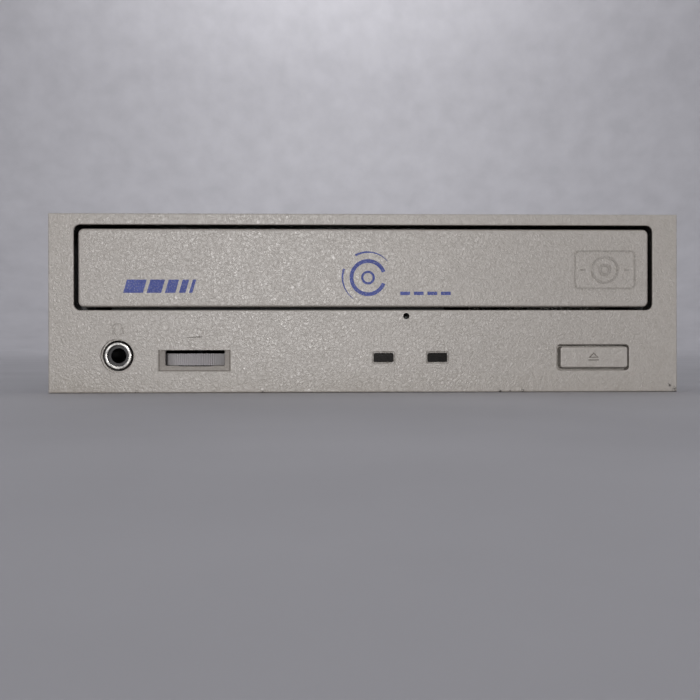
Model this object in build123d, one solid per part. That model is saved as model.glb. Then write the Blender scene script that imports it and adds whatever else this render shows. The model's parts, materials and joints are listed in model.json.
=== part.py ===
from build123d import *
import os
from math import atan2, cos, degrees, hypot, pi, radians, sin, sqrt, tan

# Half-height 5.25 inch optical drive. Millimetres. +X right seen from the front, +Z up, bezel faces -Y.
# The origin is under the middle of the overall box, on the plane the drive stands on.
# A depth is measured backwards from the back face of the bezel, and a height from the drive's bottom.

# ---- overall sizes and clearances
BODY_WIDTH = 146.0
BODY_HEIGHT = 41.3
OVERALL_DEPTH = 188.0
BEZEL_DEPTH = 5.0
BEZEL_SIDE_LIP = 1.0
BEZEL_TOP_LIP = 0.7
BEZEL_WIDTH = BODY_WIDTH + 2 * BEZEL_SIDE_LIP
BEZEL_HEIGHT = BODY_HEIGHT + BEZEL_TOP_LIP
SHEET = 0.8
GAP = 0.3
RUN = 0.05
OVERSHOOT = 1.0  # how far a cut starts outside what it cuts
BITE = 0.5  # how far a joined feature sinks into its neighbour

FRONT_Y = -OVERALL_DEPTH / 2
DATUM_Y = FRONT_Y + BEZEL_DEPTH
REAR_Y = OVERALL_DEPTH / 2


def deep(depth):
    """The y of a place this far behind the back face of the bezel."""
    return DATUM_Y + depth


# ---- case
SCREW_HEAD = 0.75
SCREW_R = 1.2
SCREW_SLOT = 0.3
BACK_WALL_OUT = REAR_Y - 1.0
BACK_WALL_IN = BACK_WALL_OUT - SHEET
CASE_LENGTH = BACK_WALL_OUT - DATUM_Y
FLANGE_WIDTH = 8.0
PLATE_BOTTOM = SHEET
PLATE_TOP = PLATE_BOTTOM + SHEET
TOP_UNDER = BODY_HEIGHT - SHEET
FOLD_R = 0.8
PANEL_SINK = 0.5
PANEL_SIDE_MARGIN = 14.0
PANEL_FRONT_MARGIN = 20.0
PANEL_BACK_MARGIN = 12.0
PANEL_ROUND = 8.0
LABEL_SIZE = (84.0, 62.0)
LABEL_BACK_MARGIN = 21.0
LABEL_THICK = 0.15
VENTS = 9
VENT_PITCH = 7.0
VENT_HEIGHTS = (26.0, 32.0)
VENT_WIDTH = 2.4
FLOOR_VENT_COLUMNS = 4
FLOOR_VENT_ROWS = 6
FLOOR_VENT_PITCH = (16.0, 14.0)
FLOOR_VENT_FIRST = 80.0
FLOOR_VENT_R = 2.0
SPACER_X, SPACER_DEPTH, SPACER_R = 60.0, 64.0, 3.0

# ---- bay mounting holes, M3
MOUNT_HOLE_R = 1.25
MOUNT_COLLAR_R = 2.1
MOUNT_COLLAR_LENGTH = 1.2
MOUNT_FIRST = 47.4
MOUNT_PITCH = 79.25
MOUNT_DEPTHS = (MOUNT_FIRST, MOUNT_FIRST + MOUNT_PITCH)
SIDE_HOLE_HEIGHTS = (10.0, 21.84)
BOTTOM_HOLE_INSET = 3.15
BOTTOM_HOLE_X = BODY_WIDTH / 2 - BOTTOM_HOLE_INSET

# ---- bezel
BEZEL_SKIN = 2.4
BEZEL_RIM = 2.0
EDGE_ROUND = 0.35
LIP_ROUND = 0.3
OPENING_HALF_WIDTH = 68.05
OPENING_BOTTOM = 19.36
OPENING_TOP = 39.35
OPENING_ROUND = 1.5
OPENING_LEDGE = 1.5
HOOK_HEIGHTS = (24.0, 30.0)
HOOK_REACH = 8.0
HOOK_THICK = 1.7
LUG_HEIGHTS = (25.0, 29.0)
LUG_DEPTHS = (4.0, 6.5)
LUG_STAND = 0.9
MARK_RAISED = 0.15
MARK_CUT = 0.25
DISC_MARK_X, DISC_MARK_Z = 56.7, 28.9
HEADPHONE_MARK_Z = 15.1
VOLUME_MARK_Z = 13.0
PINHOLE_X, PINHOLE_Z, PINHOLE_R = 9.6, 17.95, 0.75

# ---- headphone socket
JACK_X, JACK_Z = -57.9, 8.7
JACK_DISH_R = 4.0
JACK_DISH_DEPTH = 0.6
JACK_SLEEVE_R = 3.2
JACK_SLEEVE_GAP = 0.4
JACK_SLEEVE_SET_BACK = 0.2
JACK_SLEEVE_END = 3.0
JACK_BARREL_R = 2.4
JACK_BARREL_SET_BACK = 1.1
JACK_BORE_R = 1.8
JACK_BORE_END = 12.0
JACK_HOUSING = (10.8, 13.4)
JACK_HOUSING_FRONT = 0.6
JACK_HOUSING_RISE = 4.2

# ---- volume wheel
VOLUME_X = -40.1
VOLUME_OPENING = (14.0, 3.64)
VOLUME_OPENING_Z = 8.15
SCOOP_DEPTH = 1.1
SCOOP_GROWTH = (3.1, 1.5)
SCOOP_DROP = 0.68
LIP_BOW_R = 30.0
LIP_BOW = 0.33
LIP_BOW_HALF_WIDTH = 4.4
DIAL_R = 9.5
DIAL_SET_BACK = 0.8
DIAL_DEPTH = DIAL_R + DIAL_SET_BACK - BEZEL_DEPTH
DIAL_BOTTOM, DIAL_TOP = 6.42, 9.18
DIAL_RIDGES = 110
DIAL_RIDGE = 0.16
DIAL_RIM = 1.6
DIAL_HUB_R = 3.0
DIAL_PIN_R = 1.5
POT_HALF = 4.9

# ---- indicator lights and eject button
LED_XS = (4.25, 16.95)
LED_Z = 8.2
LENS_SIZE = (4.48, 1.93)
LENS_SET_BACK = 0.15
LENS_FLANGE = (6.4, 3.6)
LENS_FRAME = (5.56, 3.0)
LENS_FRAME_DEPTH = 0.3
LED_HALF = 1.5
LED_TIP_R = 1.2
BUTTON_X, BUTTON_Z = 54.15, 8.2
BUTTON_SIZE = (16.05, 4.93)
BUTTON_CAP = 3.0
BUTTON_HOLE_X, BUTTON_HOLE_Z = 53.9, 8.16
BUTTON_HOLE = (17.1, 6.0)
BUTTON_FLANGE = (3.0, 2.0)
STEM_R = 1.2
STEM_END = 3.0
PLUNGER_R = 1.1
SWITCH_DEPTHS = (5.0, 11.0)
SWITCH_BORE_END = 8.5
PLUNGER_END = 6.8

# ---- tray
TRAY_HALF_WIDTH = 66.0
TRAY_LENGTH = 163.0
TRAY_FLOOR_BOTTOM = 24.5
TRAY_FLOOR_TOP = 26.0
TRAY_RIM_TOP = 31.0
TRAY_SKIRT_BOTTOM = 21.5
TRAY_SKIRT = 2.2
TRAY_TRAVEL = 132.0
TRAY_FRONT_HALF_WIDTH = 67.1
TRAY_FRONT_BOTTOM = 20.1
TRAY_FRONT_TOP = 38.45
TRAY_FRONT_SKIN = 2.6
TRAY_FRONT_ROUND = 1.3
TRAY_FRONT_EDGE = 0.6
DISC_DEPTH = 66.0
DISC_POCKET_R = 61.0
SMALL_POCKET_R = 41.0
SMALL_POCKET_SINK = 0.5
SLOT_HALF_WIDTH = 23.0
REAR_POCKET_X = 30.0
REAR_POCKET_DEPTH = 130.0
REAR_POCKET_WALLS = (6.0, 4.0)
CLIP_XS = (40.0, 56.0)
CLIP_THICK = 2.0

# ---- loader chassis
WALL_IN = TRAY_HALF_WIDTH + GAP
WALL_OUT = WALL_IN + 1.9
WALL_BOTTOM = 7.0
WALL_TOP = 35.0
DECK_BOTTOM = 16.5
DECK_TOP = 18.3
DECK_BACK = 44.9
CHASSIS_FRONT = 0.5
CHASSIS_BACK = TRAY_LENGTH + 1.0
LEDGE_REACH = 2.0
LIP_REACH = 1.6
LIP_THICK = 1.4
LIP_DEPTHS = (6.0, 50.0, 100.0, 150.0)
LIP_LENGTH = 10.0
REAR_BLOCK_WIDTH = 8.2
REAR_BOSS_X, REAR_BOSS_Z = WALL_OUT - 4.0, 30.0
REAR_BLOCK_HALF_HEIGHT = 4.0
REAR_BAR_HEIGHTS = (13.0, 17.0)
FOOT_X = 62.5
FOOT_DEPTHS = (34.0, 157.0)
FOOT_R = 3.5
FOOT_NECK_R = 2.2
FOOT_TOP = 14.0

# ---- clamper
BRIDGE_REACH = 18.0
BRIDGE_SHEET = 1.2
BRIDGE_ROUND = 3.0
RIB_HALF_LENGTH = 58.0
RIB_INSET = 1.4
RIB_HALF = 0.6
RIB_HEIGHTS = (1.0, 3.0)
CLAMPER_FACE = 29.5
CLAMPER_FOOT = 2.0
CLAMPER_NECK_R = 11.0
CLAMPER_COLLAR = 2.6
CLAMPER_COLLAR_THICK = 1.1
CLAMPER_RECESS = 2.5
MAGNET_BOTTOM, MAGNET_R, MAGNET_HOLE_R, MAGNET_THICK = 34.0, 8.0, 3.0, 3.0

# ---- loading gears, motor and belt
RACK_MODULE = 1.0
RACK_TEETH = 12
RACK_PITCH_X = 55.0
RACK_BACK = 2.6
RACK_ENDS = (6.0, 4.0)
RACK_R = RACK_MODULE * RACK_TEETH / 2
WHEEL_MODULE = 0.6
WHEEL_TEETH = 45
PINION_TEETH = 12
WHEEL_R = WHEEL_MODULE * WHEEL_TEETH / 2
PINION_R = WHEEL_MODULE * PINION_TEETH / 2
PRESSURE_ANGLE = radians(20)
ADDENDUM, DEDENDUM = 0.9, 1.25
BACKLASH = 0.12
GEAR_X = RACK_PITCH_X - RACK_R
GEAR_CLEAR = 1.9
GEAR_DEPTH = WHEEL_R + WHEEL_MODULE + GEAR_CLEAR
GEAR_LINE_ANGLE = 170.0
GEAR_POST_R = 1.5
GEAR_SEAT_R = 2.6
WHEEL_BOTTOM, WHEEL_TOP = 18.7, 20.9
UPPER_BOTTOM, UPPER_TOP = 21.3, 24.0
UPPER_MIDDLE = (UPPER_BOTTOM + UPPER_TOP) / 2
PULLEY_X = GEAR_X + (WHEEL_R + PINION_R) * cos(radians(GEAR_LINE_ANGLE))
PULLEY_DEPTH = GEAR_DEPTH + (WHEEL_R + PINION_R) * sin(radians(GEAR_LINE_ANGLE))
PULLEY_CLEAR = 0.7
PULLEY_R = WHEEL_R + PINION_R - RACK_R - RACK_MODULE - PULLEY_CLEAR
GROOVE_SINK = 0.8
PULLEY_GROOVE_R = PULLEY_R - GROOVE_SINK
MOTOR_X, MOTOR_DEPTH = 15.0, 33.5
MOTOR_R = 9.5
MOTOR_BOTTOM = 3.0
MOTOR_NECK_R = 3.2
MOTOR_NECK = 1.2
MOTOR_HOLE_R = 3.4
MOTOR_PULLEY_R = 3.2
MOTOR_PULLEY_SKIRT = 2.0
MOTOR_GROOVE_R = 2.5
SHAFT_R = 1.0
SHAFT_BOTTOM = 8.0
BELT = 1.1
BELT_CLEAR = 0.1
GROOVE_HALF = BELT / 2 + 0.2

# ---- cam slider
CAM_TRAVEL = 12.0
CAM_PIN_X, CAM_PIN_DEPTH, CAM_PIN_R = -46.0, 27.0, 1.5
CAM_PIN_TOP = 24.0
CAM_RIB = 1.2
CAM_RUNOUT = 5.0
CAM_PLATE_FRONT = 22.0
CAM_PLATE_XS = (CAM_PIN_X - 4.0, CAM_PIN_X + 12.0)
CAM_PLATE_THICK = 1.8
CAM_WALL_DEPTHS = (45.6, 47.0)
CAM_WALL_BOTTOM = 4.0
CAM_WALL_END = 6.0
GUIDE_X, GUIDE_DEPTH, GUIDE_R = CAM_PIN_X + 3.0, 36.0, 1.4
GUIDE_RISE = 2.6

# ---- pickup sled and the traverse it runs in
SPINDLE_R = 13.0
SLED_CLEAR = 1.5
SLED_FRONT = DISC_DEPTH + SPINDLE_R + SLED_CLEAR
SLED_LENGTH = 23.5
SLED_TRAVEL = 35.5
SLED_BACK = SLED_FRONT + SLED_LENGTH
LENS_SET_IN = 8.5
LENS_DEPTH = SLED_FRONT + LENS_SET_IN
WINDOW_FRONT = SLED_FRONT - 0.5
WINDOW_BACK = SLED_BACK + SLED_TRAVEL + 1.0
WINDOW_LEFT = -28.0
WINDOW_MARGIN = 5.6
SEAT_LENGTH = 3.2
SEAT_HALF = 2.6
SEAT_DEPTHS = (SLED_FRONT - 4.5, WINDOW_BACK + 0.1)
BASE_BOTTOM, BASE_TOP = 17.0, 18.2
RAIL_X, RAIL_Z, RAIL_R = 24.0, 20.0, 1.5
RAIL_SEAT_RISE = 2.3
RAIL_INSET = 0.2
SLED_HALF_WIDTH = 20.0
SLED_BOTTOM, SLED_TOP = 13.0, 22.6
SLED_ARM_BOTTOM = 17.6
SLED_ARM_XS = (27.0, 27.3)
SLED_SMALL_ARM = (6.0, 15.0)
OPTICS_HALF_WIDTH = 11.0
OPTICS_REACH = (6.5, 7.0)
OPTICS_TOP = 24.0
HOLDER_HALF = 4.2
HOLDER_THICK = 0.7
LENS_R = 2.3
LENS_THICK = 0.9
LENS_CROWN = 0.6

# ---- lift ring, hinged at its back
RING_HALF_WIDTH = 56.0
RING_WIDTH = 6.0
RING_FRONT = 49.0
RING_BACK = WINDOW_BACK + 10.5
RING_BOTTOM, RING_TOP = 12.6, 16.6
RING_ROUND = 1.5
BASE_GAP = 0.5
LIFT_Z = 14.6
LIFT_DEG = 4.2
LIFT_HINGE_DEPTH = RING_BACK - 4.0
LIFT_PIN_XS = (-12.0, 12.0)
LIFT_PIN_R = 1.3
LIFT_PIN_FRONT = 45.2
LIFT_PIN_DEPTH = sum(CAM_WALL_DEPTHS) / 2
LIFT_DROP = (LIFT_HINGE_DEPTH - LIFT_PIN_DEPTH) * sin(radians(LIFT_DEG))
HINGE_R = 2.0
HINGE_PIN = 7.0
BEARING_HALF = 4.0
REAR_BAR_DEPTH = RING_BACK + 2.0
DAMPER_X = 53.0
DAMPER_DEPTHS = (RING_FRONT + 6.0, RING_BACK - 10.0)
DAMPER_R = 3.8
DAMPER_NECK_R = 2.6
DAMPER_THICK = 1.2
EAR_HALF = 4.0

# ---- spindle
SPINDLE_BOTTOM, SPINDLE_TOP = 13.9, 23.2
SPINDLE_PLATE = (17.0, 8.0, 1.0)
SPINDLE_SHAFT = (15.5, 29.6)
SPINDLE_BORE_BOTTOM = 15.0
TURNTABLE_R = 15.0
TURNTABLE_BOTTOM = 24.0
DISC_REST = 28.0
PAD_THICK = 0.5
PAD_EDGE = 0.4
PAD_HUB_GAP = 2.0
HUB_R = 7.4
HUB_RISE = 1.2
HUB_CONE = (2.2, 1.4)

# ---- feed screw
SCREW_X, SCREW_Z = 32.2, 17.5
FEED_MOTOR_R = 4.9
FEED_MOTOR_DEPTHS = (60.0, 75.0)
FEED_FLANGE_HALF = 8.0
FEED_FLANGE_THICK = 1.2
FEED_FLANGE_BOTTOM = 13.2
SCREW_TIP_R = 1.0
SCREW_FRONT = 66.0
SCREW_BORE_FRONT = 64.0
LEAD = 3.0
LEAD_R = 1.75
LEAD_FRONT = 76.5
LEAD_GROOVE_R = 0.4
SCREW_SEAT_RISE = 2.4
NUT_HALF = 3.0
NUT_SET_IN = 10.5
NUT_BOTTOM = 14.2
NUT_CLEAR = 0.12

# ---- front board, main board and what they carry
FRONT_BOARD_BOTTOM, FRONT_BOARD_TOP = 3.0, 4.6
FRONT_BOARD_DEPTHS = (2.0, 22.0)
FRONT_BOARD_POSTS = (-22.0, 36.0)
FRONT_POST_DEPTH, FRONT_POST_R = 14.0, 2.4
BOARD_BOTTOM, BOARD_TOP = 3.8, 5.4
BOARD_HALF_WIDTH = 64.0
BOARD_FRONT = 58.0
BOARD_BACK = CASE_LENGTH - SHEET - 1.2
CHIP_LIFT, CHIP_TOP = 0.15, 1.5
LEAD_OUT, LEAD_HALF, LEAD_THICK = 1.1, 0.2, 0.3
CAPACITOR_R = 3.2
CAPACITOR_TOP = 12.4
# x and depth of each
CAPACITORS = ((-40.0, 158.0), (-31.0, 158.0), (6.0, 159.0), (28.0, 157.0), (40.0, 160.0))
RIBBON_XS = (-44.0, -24.0)
RIBBON_DEPTHS = (6.0, 70.0)
RIBBON_BOTTOM = 2.0
RIBBON_THICK = 0.25

# ---- sockets in the back wall
# middle x, width, height, wall, how deep the mouth is
POWER = (-48.0, 21.8, 10.6, 1.3, 8.5)
DATA = (-5.5, 56.0, 9.1, 1.2, 7.5)
AUDIO = (44.7, 12.4, 6.8, 0.9, 7.5)
DIGITAL = (57.5, 7.4, 6.8, 0.9, 7.5)
JUMPER = (30.5, 8.4, 6.4)
SOCKET_LENGTH = 11.0
JUMPER_DEPTHS = (6.0, 8.0)
PIN_PITCH = 2.54
PIN_HALF = 0.32
POWER_PIN_PITCH = 5.08
POWER_PIN_HALF = 1.0
PIN_SET_BACK = 1.2
CAP_HALF = (1.2, 2.5)
CAP_HOLLOW = (0.4, 1.7)
CAP_LENGTH = 5.5
CAP_SET_BACK = 0.2


# ---- plain shapes
def block(x0, x1, y0, y1, z0, z1):
    """A box between two corners."""
    middle = Pos((x0 + x1) / 2, (y0 + y1) / 2, (z0 + z1) / 2)
    return middle * Box(abs(x1 - x0), abs(y1 - y0), abs(z1 - z0))


def post(x, y, z0, z1, radius):
    """An upright cylinder."""
    return Pos(x, y, (z0 + z1) / 2) * Cylinder(radius, z1 - z0)


def rod_x(y, z, x0, x1, radius):
    """A cylinder along X."""
    return Pos((x0 + x1) / 2, y, z) * Rot(0, 90, 0) * Cylinder(radius, abs(x1 - x0))


def rod_y(x, z, y0, y1, radius):
    """A cylinder along Y."""
    return Pos(x, (y0 + y1) / 2, z) * Rot(90, 0, 0) * Cylinder(radius, abs(y1 - y0))


def facing_front(x, y, z):
    """A place on a plane that faces -Y."""
    return Pos(x, y, z) * Rot(90, 0, 0)


def front_plate(x, z, width, height, y0, y1, radius):
    """A plate facing -Y with rounded corners."""
    outline = facing_front(x, (y0 + y1) / 2, z) * RectangleRounded(width, height, radius)
    return extrude(outline, abs(y1 - y0) / 2, both=True)


def slot_bar(x0, z0, x1, z1, y0, y1, width):
    """A round-ended bar in the XZ plane, from one centre to the other."""
    length = hypot(x1 - x0, z1 - z0)
    lean = degrees(atan2(z1 - z0, x1 - x0))
    place = facing_front((x0 + x1) / 2, (y0 + y1) / 2, (z0 + z1) / 2) * Rot(0, 0, lean)
    return extrude(place * SlotOverall(length + width, width), abs(y1 - y0) / 2, both=True)


def both_sides(shape):
    """A shape with its mirror image on the other side of the drive."""
    return shape + mirror(shape, Plane.YZ)


def corners(xs, depths):
    """The x and y of the four places at these x, left and right, and these depths."""
    return [(side * xs, deep(depth)) for side in (-1, 1) for depth in depths]


def top_edges(shape):
    """The highest round edge of a shape."""
    return shape.edges().filter_by(GeomType.CIRCLE).sort_by(Axis.Z)[-1]


# ---- gear shapes
def gear_half_angle(teeth, module, radius):
    """Half the angle that an involute tooth spans at a radius."""
    pitch_r = module * teeth / 2
    base_r = pitch_r * cos(PRESSURE_ANGLE)
    turn = sqrt(max((radius / base_r) ** 2 - 1, 0))
    involute = turn - atan2(turn, 1)
    at_pitch = tan(PRESSURE_ANGLE) - PRESSURE_ANGLE
    return pi / (2 * teeth) + at_pitch - involute - BACKLASH / (2 * pitch_r)


def gear(teeth, module, z0, z1, tooth_deg):
    """A spur gear about the Z axis, with the middle of one tooth at an angle."""
    pitch_r = module * teeth / 2
    root_r = pitch_r - DEDENDUM * module
    foot_r = max(pitch_r * cos(PRESSURE_ANGLE), root_r + 0.05 * module)
    flank = [foot_r, pitch_r, pitch_r + ADDENDUM * module]
    half = [gear_half_angle(teeth, module, r) for r in flank]
    rising = [(root_r, -half[0])] + [(r, -h) for r, h in zip(flank, half)]
    falling = [(r, -h) for r, h in reversed(rising)]
    points = []
    for tooth in range(teeth):
        middle = radians(tooth_deg) + 2 * pi * tooth / teeth
        points += [(r * cos(middle + h), r * sin(middle + h)) for r, h in rising + falling]
    outline = make_face(Polyline(points, close=True))
    return Pos(0, 0, z0) * extrude(outline, z1 - z0)


def rack(y_space, y0, y1, z0, z1):
    """A rack whose teeth point to -X, with a space at y_space; its back is flat."""
    pitch = pi * RACK_MODULE
    tip_x = RACK_PITCH_X - ADDENDUM * RACK_MODULE
    root_x = RACK_PITCH_X + DEDENDUM * RACK_MODULE
    back_x = root_x + RACK_BACK
    half_tooth = pitch / 4 - BACKLASH / 2
    root_half = half_tooth + (root_x - RACK_PITCH_X) * tan(PRESSURE_ANGLE)
    tip_half = half_tooth - (RACK_PITCH_X - tip_x) * tan(PRESSURE_ANGLE)
    points = [(back_x, y0), (root_x, y0)]
    first = int((y0 - y_space) / pitch) - 1
    last = int((y1 - y_space) / pitch) + 1
    for tooth in range(first, last + 1):
        y = y_space + (tooth + 0.5) * pitch
        if y - pitch / 2 < y0 or y + pitch / 2 > y1:
            continue
        points += [(root_x, y - root_half), (tip_x, y - tip_half)]
        points += [(tip_x, y + tip_half), (root_x, y + root_half)]
    points += [(root_x, y1), (back_x, y1)]
    return Pos(0, 0, z0) * extrude(make_face(Polyline(points, close=True)), z1 - z0)


# ---- bezel and what shows in it
def headphone_mark():
    """Raised headphone: a band over two ear pads."""
    band_r, band, pad, half_height = 1.32, 0.3, 0.72, 1.4
    y0, y1 = FRONT_Y - MARK_RAISED, FRONT_Y + 0.1
    x, z = JACK_X, HEADPHONE_MARK_Z
    ring = facing_front(x, (y0 + y1) / 2, z) * (Circle(band_r) - Circle(band_r - band))
    mark = extrude(ring, (y1 - y0) / 2, both=True)
    mark -= block(x - 2, x + 2, y0 - 1, y1 + 1, z - 2, z)
    for side in (-1, 1):
        mark += block(x + side * band_r, x + side * (band_r - pad), y0, y1, z - half_height, z + 0.05)
    return mark


def disc_mark():
    """Raised plain disc: two rings between two dashes, in a rounded frame."""
    y0, y1 = FRONT_Y - MARK_RAISED, FRONT_Y + 0.1
    frame = RectangleRounded(14.6, 9.2, 1.2) - RectangleRounded(13.8, 8.4, 0.8)
    rings = (Circle(3.3) - Circle(2.75)) + (Circle(1.5) - Circle(0.75))
    outline = frame + rings
    for side in (-1, 1):
        outline += Pos(side * 5.2, 0) * Rectangle(1.1, 0.45)
    place = facing_front(DISC_MARK_X, (y0 + y1) / 2, DISC_MARK_Z)
    return extrude(place * outline, (y1 - y0) / 2, both=True)


def volume_mark():
    """The long thin wedge cut over the volume wheel."""
    left, right, thin, thick = -2.05, 2.05, -0.1, 0.35
    wedge = make_face(Polyline([(left, thin), (right, thin), (right, thick)], close=True))
    return extrude(facing_front(VOLUME_X - 0.15, FRONT_Y, VOLUME_MARK_Z) * wedge, MARK_CUT, both=True)


def eject_mark():
    """An open triangle over a line, cut into the button."""
    outer = make_face(Polyline([(-1.3, 0), (1.3, 0), (0, 1.3)], close=True))
    inner = make_face(Polyline([(-0.7, 0.25), (0.7, 0.25), (0, 0.95)], close=True))
    sign = outer - inner + Pos(0, -0.5) * Rectangle(2.6, 0.28)
    place = facing_front(BUTTON_X - 0.1, FRONT_Y, BUTTON_Z - 0.15)
    return extrude(place * sign, MARK_CUT, both=True)


def volume_cut():
    """The ramped scoop round the volume opening, and the opening with its bowed lower lip."""
    width, height = VOLUME_OPENING
    z = VOLUME_OPENING_Z
    back_y = FRONT_Y + SCOOP_DEPTH
    back = facing_front(VOLUME_X, back_y, z) * Rectangle(width, height)
    mouth = Rectangle(width + SCOOP_GROWTH[0], height + SCOOP_GROWTH[1])
    front = facing_front(VOLUME_X, FRONT_Y, z - SCOOP_DROP) * mouth
    cut = loft([front.face(), back.face()])
    cut += front_plate(VOLUME_X, z, width, height, back_y - 0.1, DATUM_Y, 0.3)
    bow_z = z + LIP_BOW_R - height / 2 - LIP_BOW
    bow = rod_y(VOLUME_X, bow_z, back_y - 0.1, FRONT_Y + BEZEL_SKIN, LIP_BOW_R)
    reach = LIP_BOW_HALF_WIDTH
    return cut + (bow & block(VOLUME_X - reach, VOLUME_X + reach, FRONT_Y, DATUM_Y, 0, z))


def bezel_hooks():
    """Side arms whose lugs snap into the case."""
    inside = BODY_WIDTH / 2 - SHEET - GAP
    arm = block(inside - HOOK_THICK, inside, DATUM_Y - 1, deep(HOOK_REACH), *HOOK_HEIGHTS)
    lug = block(inside - 0.1, inside + LUG_STAND, deep(LUG_DEPTHS[0]), deep(LUG_DEPTHS[1]), *LUG_HEIGHTS)
    return both_sides(arm + lug)


def bezel_openings(body):
    """Cuts the tray's opening and the button's, with softened front edges."""
    height = OPENING_TOP - OPENING_BOTTOM
    middle = (OPENING_TOP + OPENING_BOTTOM) / 2
    ends = (FRONT_Y - OVERSHOOT, DATUM_Y + OVERSHOOT)
    body -= front_plate(0, middle, 2 * OPENING_HALF_WIDTH, height, *ends, OPENING_ROUND)
    body -= front_plate(BUTTON_HOLE_X, BUTTON_HOLE_Z, *BUTTON_HOLE, *ends, 0.8)
    front = body.faces().sort_by(Axis.Y)[0]
    return fillet([edge for wire in front.inner_wires() for edge in wire.edges()], LIP_ROUND)


def front_bezel():
    half = BEZEL_WIDTH / 2
    outside = FRONT_Y - OVERSHOOT
    inside = DATUM_Y + OVERSHOOT
    body = block(-half, half, FRONT_Y, DATUM_Y, 0, BEZEL_HEIGHT)
    body = fillet(body.faces().sort_by(Axis.Y)[0].edges(), EDGE_ROUND)
    body = bezel_openings(body)
    side = half - BEZEL_RIM
    pocket_top = OPENING_BOTTOM - OPENING_LEDGE
    body -= block(-side, side, FRONT_Y + BEZEL_SKIN, inside, BEZEL_RIM, pocket_top)
    body -= rod_y(JACK_X, JACK_Z, outside, FRONT_Y + JACK_DISH_DEPTH, JACK_DISH_R)
    body -= rod_y(JACK_X, JACK_Z, outside, inside, JACK_SLEEVE_R + JACK_SLEEVE_GAP)
    body -= rod_y(PINHOLE_X, PINHOLE_Z, outside, inside, PINHOLE_R)
    for x in LED_XS:
        body -= front_plate(x, LED_Z, *LENS_FRAME, outside, FRONT_Y + LENS_FRAME_DEPTH, 0.6)
        body -= front_plate(x, LED_Z, LENS_SIZE[0] + 0.2, LENS_SIZE[1] + 0.2, outside, inside, 0.3)
    return body - volume_cut() - volume_mark() + headphone_mark() + bezel_hooks()


def tray_front():
    height = TRAY_FRONT_TOP - TRAY_FRONT_BOTTOM
    middle = (TRAY_FRONT_TOP + TRAY_FRONT_BOTTOM) / 2
    back_y = FRONT_Y + TRAY_FRONT_SKIN
    panel = front_plate(0, middle, 2 * TRAY_FRONT_HALF_WIDTH, height, FRONT_Y, back_y, TRAY_FRONT_ROUND)
    panel = fillet(panel.faces().sort_by(Axis.Y)[0].edges(), TRAY_FRONT_EDGE)
    return panel + disc_mark()


def eject_button():
    """The cap, the flange that keeps it in, and the stem that reaches the switch."""
    width, height = BUTTON_SIZE
    cap = front_plate(BUTTON_X, BUTTON_Z, width, height, FRONT_Y, FRONT_Y + BUTTON_CAP, 0.6)
    cap = fillet(cap.faces().sort_by(Axis.Y)[0].edges(), EDGE_ROUND)
    flange_y = FRONT_Y + BEZEL_SKIN + GAP
    flange = (width + BUTTON_FLANGE[0], height + BUTTON_FLANGE[1])
    cap += front_plate(BUTTON_X, BUTTON_Z, *flange, flange_y, flange_y + 1.0, 0.6)
    cap += rod_y(BUTTON_X, BUTTON_Z, flange_y, deep(STEM_END), STEM_R)
    return cap - eject_mark()


def led_lens(x):
    """A window with a flange behind the bezel's skin."""
    skin_y = FRONT_Y + BEZEL_SKIN
    lens = front_plate(x, LED_Z, *LENS_SIZE, FRONT_Y + LENS_SET_BACK, skin_y + 1.0, 0.25)
    return lens + front_plate(x, LED_Z, *LENS_FLANGE, skin_y, skin_y + 1.0, 0.3)


# ---- front board
def front_board():
    half = WALL_IN - GAP
    y0, y1 = (deep(depth) for depth in FRONT_BOARD_DEPTHS)
    board = block(-half, half, y0, y1, FRONT_BOARD_BOTTOM, FRONT_BOARD_TOP)
    for x in FRONT_BOARD_POSTS:
        board -= post(x, deep(FRONT_POST_DEPTH), 0, FRONT_BOARD_TOP + OVERSHOOT, SCREW_R + RUN)
    return board


def jack_housing():
    """The socket's body, with the barrel that a plug slides into."""
    width, length = JACK_HOUSING
    y0 = deep(JACK_HOUSING_FRONT)
    top = JACK_Z + JACK_HOUSING_RISE
    body = block(JACK_X - width / 2, JACK_X + width / 2, y0, y0 + length, FRONT_BOARD_TOP, top)
    body -= rod_y(JACK_X, JACK_Z, deep(0), deep(JACK_SLEEVE_END), JACK_SLEEVE_R)
    barrel_y = FRONT_Y + JACK_BARREL_SET_BACK
    body += rod_y(JACK_X, JACK_Z, barrel_y, deep(JACK_SLEEVE_END + BITE), JACK_BARREL_R)
    return body - rod_y(JACK_X, JACK_Z, FRONT_Y, deep(JACK_BORE_END), JACK_BORE_R)


def jack_sleeve():
    """The plated ring round the socket's barrel."""
    end_y = deep(JACK_SLEEVE_END)
    sleeve = rod_y(JACK_X, JACK_Z, FRONT_Y + JACK_SLEEVE_SET_BACK, end_y, JACK_SLEEVE_R)
    sleeve -= rod_y(JACK_X, JACK_Z, FRONT_Y - OVERSHOOT, end_y + OVERSHOOT, JACK_BARREL_R)
    mouth = sleeve.edges().filter_by(GeomType.CIRCLE).sort_by(Axis.Y)[0:2]
    return fillet(mouth, 0.25)


def volume_wheel():
    """A thumbwheel with an upright axis and a knurled edge."""
    points = []
    for step in range(2 * DIAL_RIDGES):
        radius = DIAL_R - DIAL_RIDGE * (step % 2)
        angle = pi * step / DIAL_RIDGES
        points.append((radius * cos(angle), radius * sin(angle)))
    top = DIAL_TOP - DIAL_BOTTOM
    wheel = extrude(make_face(Polyline(points, close=True)), top)
    wheel -= post(0, 0, 1, top + OVERSHOOT, DIAL_R - DIAL_RIM)
    wheel += post(0, 0, 0, top, DIAL_HUB_R)
    wheel -= post(0, 0, -OVERSHOOT, top + OVERSHOOT, DIAL_PIN_R + RUN)
    return Pos(VOLUME_X, deep(DIAL_DEPTH), DIAL_BOTTOM) * wheel


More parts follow.
